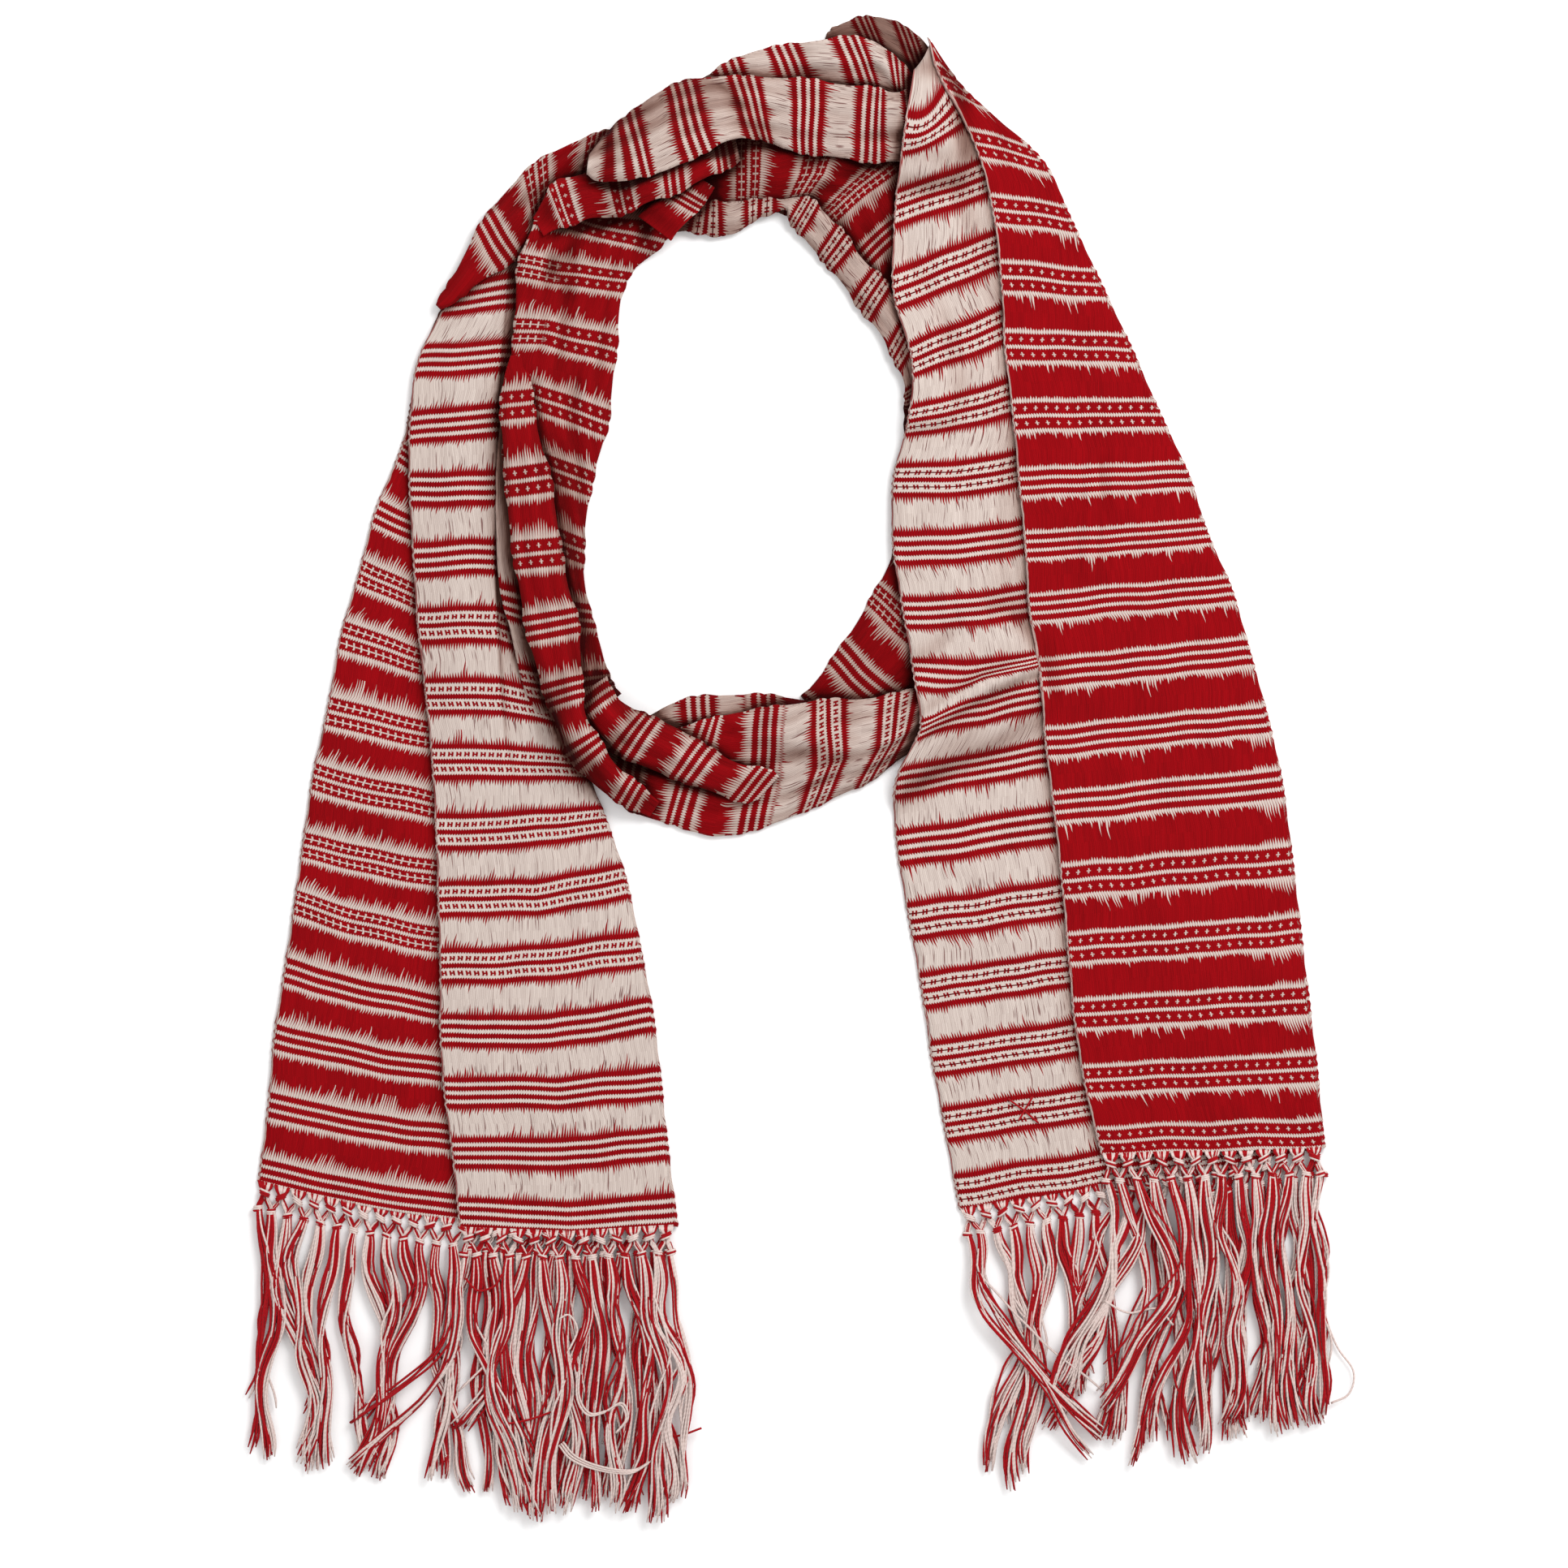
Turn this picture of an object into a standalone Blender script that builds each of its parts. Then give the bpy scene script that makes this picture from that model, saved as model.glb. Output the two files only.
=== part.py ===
"""A woven cotton scarf, laid flat on a table in one neck loop with two tails.

The scarf is one double-faced panel with a knotted fringe at each end. Each tail is folded
lengthwise, so it is a wall with a round fold down its right edge. Round the neck opening the
cloth is gathered in soft bands, each a rounded solid that lies on the cloth below it.

Everything is laid out in millimetres about the middle of the scarf, +X to the right and +Y
away from the fringe, and is turned into metres when a mesh is made. The floor is z = 0.
"""
import math
from typing import NamedTuple

import bmesh
import bpy
import numpy as np

# Sizes, in millimetres
MM = 0.001
CLOTH = 1.2
LAYER_GAP = 0.4
FOLD_SPREAD = 2.4
RASTER = 1.0
FLOOR_HALF_WIDTH = 300.0
FLOOR_HALF_LENGTH = 400.0
DRAPE_REACH = 4
DRAPE_SOFTNESS = 4
BACK_COLUMNS = 7
NOSE_COLUMNS = 3
CREASE_COLUMN = 14
EDGE_COLUMN = 17
EDGE_DROP = 0.3
BACK_PLACES = (0.0, 0.17, 0.34, 0.52, 0.7, 0.86, 1.0)
FRONT_IN_PLACES = (0.0, 0.35, 0.7, 0.97)
FRONT_OUT_PLACES = (0.03, 0.35, 0.7, 1.0)
FRONT_OUT_STEPS = (1.0, 1.0, 0.8, 0.0)
NOSE_TURNS = (45.0, 90.0, 135.0)
MOST_SAG = 40.0
SWELL_SHAPE = 0.7
CREASE_HALF_PLACE = 0.03
FADE_START = 0.15
FADE_SPAN = 0.7
CURVE_POINTS = 17
FILL_POINTS = 25
CLEAR_POINTS = 9
CLEAR_PASSES = 6
TOUCHING = 0.01
SMOOTH_ANGLE = 40.0
MIDDLE_X = -3.84
MIDDLE_Y = -0.44

# Knotted fringe, in millimetres
KNOT_PITCH = 8.2
HEM_GAP = 0.8
CORD_WIDTH = 2.2
LEG_WIDTH = 1.6
NET_DEPTH = 9.0
KNOT_DEPTH = 3.0
FRINGE_THICKNESS = 1.4
FRINGE_LIFT = 0.3
LOCK_STEPS = 4
LOCK_GAP = 0.6
LOCK_WIDTH = 6.4
LEAST_LOCK_WIDTH = 1.8
LEAST_LOCK_PITCH = 3.0
END_ROOM = 8.0
SWAY_PLACES = (0.0, 0.33, 0.67, 1.0)
HIDDEN_LENGTH = 118.0
HIDDEN_LENGTH_SPREAD = 5.0
HIDDEN_SWAY = 2.5
PARTING_PASSES = 60


class Point(NamedTuple):
    """A point on the floor plan, in millimetres."""

    x: float
    y: float


class TailRow(NamedTuple):
    """One weft line across a folded tail, from the back selvedge round the fold to the front one."""

    back: Point
    under: Point
    fold: Point
    crease: Point
    edge: Point
    step: float


class BandRow(NamedTuple):
    """One weft line across a gathered band, from its outer edge over a crease to its inner edge."""

    outer: Point
    crease: Point
    inner: Point


class Fold(NamedTuple):
    """A soft ridge, or a trough where its height is negative, along a curve through three points."""

    start: Point
    middle: Point
    end: Point
    width: float
    height: float


def tail_rows(table):
    """Turn a tail's table into rows of points."""
    return [TailRow(Point(*row[0:2]), Point(*row[2:4]), Point(*row[4:6]), Point(*row[6:8]),
                    Point(*row[8:10]), row[10]) for row in table]


def band_rows(table):
    """Turn a band's table into rows of points."""
    return [BandRow(Point(*row[0:2]), Point(*row[2:4]), Point(*row[4:6])) for row in table]


def folds(table):
    """Turn a table of folds into named folds."""
    return [Fold(Point(*row[0:2]), Point(*row[2:4]), Point(*row[4:6]), *row[6:8]) for row in table]


# A row for each group of stripes, from the neck to the hem
RIGHT_TAIL = tail_rows([
    # back      under       fold        crease      edge       step
    (56, 342, 60, 347, 65, 357, 64, 358, 63, 359, 0.0),
    (51, 310, 74, 322, 82, 333, 75, 337, 69, 339, 0.0),
    (47, 275, 89, 290, 119, 300, 102, 304, 86, 307, 0.0),
    (46, 234, 98, 255, 134, 270, 114, 273, 95, 275, 0.0),
    (55, 200, 100, 218, 149, 238, 124, 240, 99, 242, 0.0),
    (53, 170, 103, 182, 164, 206, 132, 207, 101, 207, 0.0),
    (46, 142, 107, 147, 178, 174, 141, 174, 105, 173, 0.0),
    (46, 108, 111, 114, 192, 144, 148, 142, 108, 140, 0.6),
    (51, 76, 113, 82, 201, 116, 154, 112, 111, 109, 0.4),
    (56, 46, 118, 54, 213, 88, 161, 83, 113, 78, 0.0),
    (59, 18, 119, 34, 222, 57, 168, 51, 118, 46, 0.0),
    (47, -8, 122, 6, 231, 24, 174, 18, 121, 12, 0.0),
    (48, -40, 125, -28, 238, -8, 180, -14, 125, -20, 0.0),
    (54, -76, 129, -65, 243, -46, 186, -51, 129, -56, 0.0),
    (60, -110, 132, -99, 247, -80, 190, -85, 132, -89, 0.0),
    (65, -144, 136, -133, 251, -114, 193, -118, 135, -122, 0.0),
    (71, -176, 141, -165, 255, -148, 197, -151, 140, -154, 0.0),
    (77, -209, 147, -198, 258, -180, 202, -182, 147, -184, 0.0),
    (79, -218, 149, -206, 259, -187, 204, -189, 149, -191, 0.0),
])
LEFT_TAIL = tail_rows([
    (-158, 259, -157, 260, -127, 266, -143, 264, -159, 258, 0.5),
    (-171, 230, -169, 231, -128, 236, -144, 234, -173, 230, 1.2),
    (-185, 200, -180, 200, -128, 202, -147, 203, -188, 200, 2.2),
    (-191, 174, -182, 172, -127, 168, -149, 171, -192, 167, 2.6),
    (-197, 156, -191, 152, -125, 132, -148, 138, -192, 137, 2.6),
    (-209, 127, -191, 118, -122, 94, -150, 104, -190, 102, 2.6),
    (-217, 97, -188, 84, -118, 58, -149, 71, -188, 70, 2.6),
    (-226, 66, -185, 52, -113, 26, -147, 35, -184, 35, 2.2),
    (-233, 28, -182, 16, -105, 0, -143, 3, -181, 3, 1.2),
    (-240, -4, -179, -18, -95, -26, -134, -30, -179, -32, 0.4),
    (-245, -38, -178, -52, -85, -56, -130, -64, -178, -65, 0.0),
    (-249, -66, -177, -85, -78, -90, -126, -96, -177, -98, 0.0),
    (-254, -100, -177, -118, -72, -122, -122, -130, -177, -130, 0.0),
    (-259, -132, -175, -149, -68, -156, -118, -160, -175, -160, 0.0),
    (-262, -166, -172, -182, -65, -185, -116, -190, -171, -190, 0.0),
    (-266, -198, -169, -216, -61, -218, -114, -222, -168, -219, 0.0),
    (-267, -204, -167, -223, -60, -226, -112, -229, -167, -227, 0.0),
])

# A row for each weft line measured along a gathered band
LEFT_TURN = band_rows([
    # outer     crease      inner
    (-173, 234, -172, 234, -171, 233),
    (-167, 246, -162, 244, -157, 242),
    (-160, 258, -152, 254, -143, 249),
    (-149, 275, -141, 264, -133, 254),
    (-135, 291, -129, 276, -122, 262),
    (-122, 301, -117, 287, -112, 274),
    (-109, 308, -103, 296, -98, 284),
    (-90, 314, -87, 303, -84, 292),
    (-79, 318, -77, 307, -75, 297),
])
NECK_CROWN = band_rows([
    (13, 358, 15, 354, 17, 348),
    (19, 363, 24, 354, 28, 343),
    (31, 368, 35, 354, 38, 338),
    (43, 369, 47, 350, 50, 330),
    (53, 366, 57, 344, 62, 322),
    (63, 358, 68, 337, 73, 314),
    (69, 350, 75, 329, 82, 306),
    (76, 338, 81, 318, 87, 298),
])
NECK_BACK = band_rows([
    (-54, 296, -59, 280, -63, 264),
    (-41, 302, -44, 278, -47, 264),
    (-24, 307, -28, 278, -32, 265),
    (-9, 307, -15, 277, -19, 272),
    (10, 306, -1, 281, -7, 275),
    (34, 302, 8, 278, -1, 265),
    (50, 288, 21, 262, 11, 251),
    (62, 268, 33, 246, 23, 236),
    (72, 244, 45, 232, 35, 222),
    (80, 218, 58, 214, 48, 208),
    (86, 186, 66, 188, 53, 190),
    (88, 150, 68, 152, 53, 154),
    (88, 110, 66, 116, 51, 122),
    (82, 74, 58, 90, 45, 100),
    (66, 42, 42, 62, 31, 74),
    (40, 26, 24, 40, 15, 50),
    (18, 16, 9, 26, 2, 34),
])
LOOP_LEFT = band_rows([
    (-118, 282, -96, 284, -45, 293),
    (-127, 271, -114, 268, -66, 262),
    (-137, 247, -118, 243, -86, 240),
    (-139, 214, -125, 214, -91, 206),
    (-144, 182, -132, 185, -95, 170),
    (-144, 146, -123, 142, -103, 136),
    (-139, 110, -118, 111, -107, 111),
    (-134, 74, -110, 74, -102, 68),
    (-125, 39, -107, 40, -95, 38),
    (-114, 16, -101, 18, -85, 31),
    (-105, -1, -97, 3, -76, 22),
])
LOOP_BOTTOM = band_rows([
    (-100, -6, -98, 12, -96, 30),
    (-84, -17, -82, 4, -81, 27),
    (-69, -25, -68, 0, -68, 26),
    (-53, -32, -50, 0, -48, 33),
    (-38, -32, -35, 0, -32, 34),
    (-23, -29, -19, 2, -16, 34),
    (-4, -23, -2, 4, 0, 32),
    (14, -18, 17, 6, 19, 32),
    (26, -11, 29, 12, 32, 34),
    (40, -3, 43, 16, 46, 35),
    (55, 8, 57, 22, 59, 38),
    (86, 22, 82, 38, 78, 54),
    (111, 42, 102, 54, 92, 67),
])
NECK_ROLL = band_rows([
    (-114, 287, -122, 276, -130, 262),
    (-104, 290, -108, 278, -114, 266),
    (-88, 291, -91, 280, -95, 270),
    (-74, 294, -76, 284, -78, 276),
    (-59, 299, -59, 290, -61, 282),
    (-45, 306, -45, 299, -46, 294),
    (-32, 311, -31, 306, -30, 302),
])
NECK_FRONT = band_rows([
    (-91, 313, -94, 310, -117, 286),
    (-84, 318, -83, 314, -81, 289),
    (-71, 329, -70, 325, -65, 293),
    (-55, 337, -54, 333, -50, 300),
    (-34, 348, -28, 339, -19, 310),
    (-22, 353, -13, 338, -9, 306),
    (-7, 356, 2, 338, 5, 303),
    (8, 358, 19, 336, 19, 302),
    (25, 359, 35, 334, 33, 300),
    (39, 356, 45, 332, 47, 300),
    (50, 350, 55, 331, 60, 300),
    (58, 342, 64, 326, 71, 302),
])

# A row for each large fold of a gathered band
LOOP_BOTTOM_FOLDS = folds([
    # start     middle      end        width height
    (-98, 22, -68, 8, -27, -4, 8.0, 5.0),
    (-92, -6, -62, -22, -34, -24, 7.0, 3.5),
    (-96, 8, -70, -7, -44, -14, 5.0, -3.0),
    (-66, 25, -35, 26, -2, 30, 6.0, -2.5),
    (-20, 2, 10, 8, 46, 16, 16.0, 2.0),
])
LOOP_LEFT_FOLDS = folds([
    (-128, 230, -136, 160, -130, 120, 9.0, 3.0),
    (-128, 100, -120, 60, -107, 18, 9.0, 3.0),
    (-124, 262, -108, 246, -96, 238, 6.0, -2.0),
    (-118, 190, -108, 160, -104, 130, 6.0, 1.5),
])
NECK_FRONT_FOLDS = folds([
    (-94, 300, -50, 318, -20, 325, 12.0, 3.0),
    (-20, 325, 20, 320, 60, 316, 12.0, 3.5),
    (-28, 343, 2, 342, 35, 339, 4.0, -2.5),
])
NECK_BACK_FOLDS = folds([
    (-60, 272, -40, 272, -12, 276, 5.0, 2.0),
    (8, 272, 24, 250, 52, 212, 6.0, 2.0),
])


def smooth_rows(values, per_row):
    """Read a smooth curve through a table's rows, per_row steps between each two of them."""
    values = np.asarray(values, dtype=float)
    count = len(values)
    place = np.linspace(0.0, count - 1.0, (count - 1) * per_row + 1)
    low = np.minimum(place.astype(int), count - 2)
    part = (place - low)[:, None]
    padded = np.vstack([2 * values[:1] - values[1:2], values, 2 * values[-1:] - values[-2:-1]])
    before, here, after, beyond = padded[low], padded[low + 1], padded[low + 2], padded[low + 3]
    slope_here = (after - before) / 2
    slope_after = (beyond - here) / 2
    return (here * (2 * part ** 3 - 3 * part ** 2 + 1) + slope_here * (part ** 3 - 2 * part ** 2 + part)
            + after * (3 * part ** 2 - 2 * part ** 3) + slope_after * (part ** 3 - part ** 2))


def lerp(start, end, parts):
    """Straight points from start to end, one row of points for each row of the table."""
    return start[:, None, :] + (end - start)[:, None, :] * np.asarray(parts)[None, :, None]


def fold_height(x, y, table):
    """Height of a band's folds at each point: a bell across each fold that fades at its ends."""
    height = np.zeros_like(x)
    steps = np.linspace(0.0, 1.0, CURVE_POINTS)
    for fold in table:
        curve_x = ((1 - steps) ** 2 * fold.start.x + 2 * steps * (1 - steps) * fold.middle.x
                   + steps ** 2 * fold.end.x)
        curve_y = ((1 - steps) ** 2 * fold.start.y + 2 * steps * (1 - steps) * fold.middle.y
                   + steps ** 2 * fold.end.y)
        away = np.hypot(x[..., None] - curve_x, y[..., None] - curve_y)
        nearest = steps[away.argmin(axis=-1)]
        fade = np.sqrt(np.sin(math.pi * (FADE_START + FADE_SPAN * nearest)))
        height += fold.height * fade * np.exp(-(away.min(axis=-1) / fold.width) ** 2)
    return height


class LaidCloth:
    """Top heights of all the cloth laid so far, on a square raster over the floor."""

    def __init__(self):
        columns = int(2 * FLOOR_HALF_WIDTH / RASTER)
        rows = int(2 * FLOOR_HALF_LENGTH / RASTER)
        self.tops = np.zeros((rows, columns))

    def add(self, x, y, z):
        """Mark a grid of points, filled in to less than one raster square apart."""
        steps = np.linspace(0.0, 1.0, FILL_POINTS)
        along, across = np.meshgrid(steps, steps, indexing="ij")
        weights = [(1 - along) * (1 - across), along * (1 - across), (1 - along) * across, along * across]
        filled = []
        for grid in (x, y, z):
            corners = [grid[:-1, :-1], grid[1:, :-1], grid[:-1, 1:], grid[1:, 1:]]
            filled.append(sum(corner[..., None, None] * weight for corner, weight in zip(corners, weights)))
        column = np.round((filled[0] + FLOOR_HALF_WIDTH) / RASTER).astype(int)
        row = np.round((filled[1] + FLOOR_HALF_LENGTH) / RASTER).astype(int)
        np.maximum.at(self.tops, (row.ravel(), column.ravel()), filled[2].ravel())

    def spread(self, reach):
        """The highest top within reach squares of each square."""
        wide = self.tops.copy()
        for axis in (0, 1):
            source = wide.copy()
            for shift in range(1, reach + 1):
                wide = np.maximum(wide, np.roll(source, shift, axis))
                wide = np.maximum(wide, np.roll(source, -shift, axis))
        return wide

    def support(self):
        """A soft surface that nowhere lies below the cloth laid so far."""
        field = self.spread(DRAPE_REACH + DRAPE_SOFTNESS)
        for axis in (0, 1):
            for half in (DRAPE_SOFTNESS // 2, DRAPE_SOFTNESS - DRAPE_SOFTNESS // 2):
                field = sum(np.roll(field, shift, axis) for shift in range(-half, half + 1)) / (2 * half + 1)
        return field

    @staticmethod
    def read(field, x, y):
        """A field's value at each point, straight between the four squares round it."""
        column = (np.asarray(x) + FLOOR_HALF_WIDTH) / RASTER
        row = (np.asarray(y) + FLOOR_HALF_LENGTH) / RASTER
        low_column = np.floor(column).astype(int)
        low_row = np.floor(row).astype(int)
        part_x = column - low_column
        part_y = row - low_row
        return ((field[low_row, low_column] * (1 - part_x) + field[low_row, low_column + 1] * part_x)
                * (1 - part_y)
                + (field[low_row + 1, low_column] * (1 - part_x)
                   + field[low_row + 1, low_column + 1] * part_x) * part_y)

    def lift(self, x, y):
        """How high cloth laid at each point of a grid rests: 0 on the floor, else a gap above."""
        field = self.support()
        rest = self.read(field, x, y)
        rest = rest + np.minimum(rest, LAYER_GAP)
        tops = self.spread(1)
        parts = np.linspace(0.0, 1.0, CLEAR_POINTS)
        for _ in range(CLEAR_PASSES):
            for along in parts:
                for across in parts:
                    weights = ((1 - along) * (1 - across), along * (1 - across),
                               (1 - along) * across, along * across)
                    here = [sum(w * c for w, c in zip(weights, corners(grid))) for grid in (x, y, rest)]
                    below = self.read(tops, here[0], here[1])
                    short = np.where(below > TOUCHING, below + LAYER_GAP - here[2], 0.0)
                    short = np.maximum(short, 0.0)
                    for weight, corner in zip(weights, corners(rest)):
                        corner += short * (weight > 0.2)
        return rest


def corners(grid):
    """Views of a grid's four corners, cell by cell."""
    return [grid[:-1, :-1], grid[1:, :-1], grid[:-1, 1:], grid[1:, 1:]]


def clear_scene():
    """Remove every object of the scene."""
    for item in list(bpy.data.objects):
        bpy.data.objects.remove(item, do_unlink=True)


def dyed_cotton(name, colour):
    """A soft, matt cotton in one colour."""
    material = bpy.data.materials.new(name)
    material.use_nodes = True
    shader = material.node_tree.nodes["Principled BSDF"]
    shader.inputs["Base Color"].default_value = (*colour, 1.0)
    shader.inputs["Roughness"].default_value = 0.9
    shader.inputs["Metallic"].default_value = 0.0
    material.diffuse_color = (*colour, 1.0)
    return material


def add_object(name, mesh, material):
    """Put a finished mesh in the scene under its node's name."""
    mesh.materials.append(material)
    mesh.shade_smooth()
    mesh.set_sharp_from_angle(angle=math.radians(SMOOTH_ANGLE))
    item = bpy.data.objects.new(name, mesh)
    bpy.context.scene.collection.objects.link(item)
    return item


def shell_mesh(name, outside, inside):
    """Close two grids of points, in millimetres, into one wall whose faces point out.

    Both grids have a row for each station and a column for each point across, and outside is
    the one that the across-by-along normal points to.
    """
    rows, columns = outside.shape[:2]
    points = np.concatenate([outside.reshape(-1, 3), inside.reshape(-1, 3)])
    points[:, 0] -= MIDDLE_X
    points[:, 1] -= MIDDLE_Y
    index = np.arange(rows * columns).reshape(rows, columns)
    lower = index + rows * columns
    faces = np.stack(corners_in_order(index), axis=-1).reshape(-1, 4).tolist()
    faces += np.stack(corners_in_order(lower), axis=-1).reshape(-1, 4)[:, ::-1].tolist()
    rim = list(index[0, :]) + list(index[1:, -1]) + list(index[-1, -2::-1]) + list(index[-2:0:-1, 0])
    for here, after in zip(rim, rim[1:] + rim[:1]):
        faces.append([after, here, here + rows * columns, after + rows * columns])
    mesh = bpy.data.meshes.new(name)
    mesh.from_pydata((points * MM).tolist(), [], [[int(v) for v in face] for face in faces])
    body = bmesh.new()
    body.from_mesh(mesh)
    bmesh.ops.recalc_face_normals(body, faces=body.faces)
    body.to_mesh(mesh)
    body.free()
    return mesh


def corners_in_order(index):
    """A grid cell's corner numbers in the order round its face."""
    return [index[:-1, :-1], index[1:, :-1], index[1:, 1:], index[:-1, 1:]]


def tail_section(rows, per_row):
    """Centre points of a folded tail: back layer, round fold and front layer.

    The back layer runs from its selvedge to the fold along a parabola through its point under the
    front selvedge. The fold is half a circle, FOLD_SPREAD across. The front layer runs back over
    it, raised by its crease's step between the crease and the front selvedge.
    """
    flat = [[*row.back, *row.under, *row.fold, *row.crease, *row.edge, row.step] for row in rows]
    line = smooth_rows(flat, per_row)
    back, under, fold, crease, edge = (line[:, start:start + 2] for start in (0, 2, 4, 6, 8))
    step = line[:, 10]
    radius = FOLD_SPREAD / 2
    inward = (back - fold) / np.linalg.norm(back - fold, axis=1, keepdims=True)
    seam = fold + inward * radius
    reach = np.clip((under - back)[:, 0] / (seam - back)[:, 0], 0.05, 0.95)[:, None]
    bend = ((under - back)[:, 1:] - reach * (seam - back)[:, 1:]) / (reach * (reach - 1.0))
    back_parts = np.array(BACK_PLACES)
    back_layer = lerp(back, seam, back_parts)
    back_layer[:, :, 1] += np.clip(bend, -MOST_SAG, MOST_SAG) * (back_parts * (back_parts - 1.0))[None, :]
    front_in = lerp(seam, crease, FRONT_IN_PLACES)
    front_out = lerp(crease, edge, FRONT_OUT_PLACES)
    turn = np.radians(NOSE_TURNS)
    nose = seam[:, None, :] - inward[:, None, :] * (np.sin(turn) * radius)[None, :, None]
    plan = np.concatenate([back_layer, nose, front_in, front_out], axis=1)
    height = np.zeros(plan.shape[:2])
    height[:, BACK_COLUMNS:BACK_COLUMNS + NOSE_COLUMNS] = radius * (1 - np.cos(turn))
    height[:, BACK_COLUMNS + NOSE_COLUMNS:] = FOLD_SPREAD
    height[:, CREASE_COLUMN:] += step[:, None] * np.array(FRONT_OUT_STEPS)
    height[:, EDGE_COLUMN] = FOLD_SPREAD - EDGE_DROP
    return plan[..., 0], plan[..., 1], height


def wall(x, y, height, laid):
    """Points of a cloth wall on both sides of its centre surface, lifted over what is laid."""
    raised = laid.lift(x, y)
    centre = np.stack([x, y, raised + height + CLOTH / 2], axis=-1)
    along = np.gradient(centre, axis=0)
    across = np.gradient(centre, axis=1)
    normal = np.cross(along, across)
    normal /= np.linalg.norm(normal, axis=-1, keepdims=True)
    outside = centre + normal * CLOTH / 2
    inside = centre - normal * CLOTH / 2
    for side in (outside, inside):
        side[..., 2] = np.maximum(side[..., 2], 0.0)
        on_floor = (raised < TOUCHING) & (height < TOUCHING) & (side[..., 2] < CLOTH / 2)
        side[on_floor, 2] = 0.0
    return outside, inside


def make_tail(name, rows, laid, material):
    """Build a folded tail as one cloth wall, and return its back and front hems, selvedge first."""
    x, y, height = tail_section(rows, 1)
    outside, inside = wall(x, y, height, laid)
    for side in (outside, inside):
        laid.add(side[..., 0], side[..., 1], side[..., 2])
    add_object(name, shell_mesh(name, outside, inside), material)
    hem = np.stack([x[-1], y[-1]], axis=-1)
    return hem[:BACK_COLUMNS], hem[BACK_COLUMNS + NOSE_COLUMNS:][::-1]


def make_band(name, rows, laid, material, fullness, table=(), per_row=1, columns=(5, 5), step=0.0):
    """Build a gathered band: a rounded solid whose underside follows what it lies on.

    fullness is how far the hidden layers raise its middle, and step is how much higher it stands
    on its outer side of the crease than on its inner side.
    """
    flat = [[*row.outer, *row.crease, *row.inner] for row in rows]
    line = smooth_rows(flat, per_row)
    outer, crease, inner = (line[:, start:start + 2] for start in (0, 2, 4))
    first = np.linspace(0.0, 1.0, columns[0] + 1)
    second = np.linspace(0.0, 1.0, columns[1] + 1)
    if step:
        first[-1] = 1.0 - CREASE_HALF_PLACE
        second[0] = CREASE_HALF_PLACE
        plan = np.concatenate([lerp(outer, crease, first), lerp(crease, inner, second)], axis=1)
    else:
        plan = np.concatenate([lerp(outer, crease, first), lerp(crease, inner, second)[:, 1:]], axis=1)
    x = plan[..., 0]
    y = plan[..., 1]
    across = np.linspace(0.0, 1.0, x.shape[1])
    swell = fullness * np.sin(math.pi * across) ** SWELL_SHAPE
    side = np.zeros(x.shape[1])
    side[:columns[0] + 1] = step
    side[0] = 0.0
    bottom = laid.lift(x, y)
    rise = np.maximum(swell[None, :] + side[None, :] + fold_height(x, y, table), 0.0)
    top = bottom + CLOTH + rise
    outside = np.stack([x, y, top], axis=-1)
    inside = np.stack([x, y, bottom], axis=-1)
    laid.add(x, y, top)
    return add_object(name, shell_mesh(name, outside, inside), material)


class Lock(NamedTuple):
    """How one bundle of fringe hangs: its sideways sway at three places and its length."""

    sway_high: float
    sway_low: float
    sway_tip: float
    length: float


# A row for each bundle that shows, from the left: sway at a third, two thirds and the tip, length
LEFT_BACK_LOCKS = [
    Lock(4, 2, -4, 118), Lock(3, 2, -4, 118), Lock(-3, 0, 8, 92), Lock(-3, 4, 3, 120),
    Lock(-1, -1, 0, 121), Lock(-4, -3, 0, 119), Lock(-3, -3, 5, 114), Lock(2, 6, 2, 118),
    Lock(3, 2, -8, 118), Lock(1, -4, -10, 117), Lock(4, 5, 0, 118), Lock(4, 0, -3, 118),
    Lock(0, -1, -2, 117),
]
LEFT_FRONT_LOCKS = [
    Lock(1, 1, -3, 88), Lock(0, -1, -4, 84), Lock(-1, 3, 8, 118), Lock(-5, -4, 5, 122),
    Lock(-7, -6, 2, 125), Lock(-3, -3, -3, 125), Lock(-1, -2, -5, 124), Lock(0, -1, -2, 114),
    Lock(1, 2, 0, 121), Lock(2, 3, 2, 121), Lock(4, 6, 4, 124), Lock(5, 7, 5, 128),
    Lock(3, 5, 3, 121), Lock(3, 5, 5, 118),
]
RIGHT_BACK_LOCKS = [
    Lock(8, 26, 56, 110), Lock(7, 24, 52, 103), Lock(-6, 0, 14, 90), Lock(2, -2, -15, 118),
    Lock(0, -4, -11, 130), Lock(1, -2, -6, 124), Lock(6, 9, 0, 103), Lock(6, 7, 0, 84),
    Lock(6, 13, 16, 108), Lock(5, 10, 12, 100),
]
RIGHT_FRONT_LOCKS = [
    Lock(4, -6, -26, 106), Lock(2, -6, -4, 124), Lock(10, 12, -4, 138), Lock(10, 14, 0, 128),
    Lock(11, 12, 9, 133), Lock(10, 8, 2, 137), Lock(5, 1, 4, 122), Lock(4, 9, 4, 119),
    Lock(6, 2, 2, 118), Lock(1, 4, 7, 119), Lock(-1, 1, 5, 124), Lock(-3, 0, 5, 119),
    Lock(-2, 0, 5, 121), Lock(-1, 1, 6, 116),
]


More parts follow.
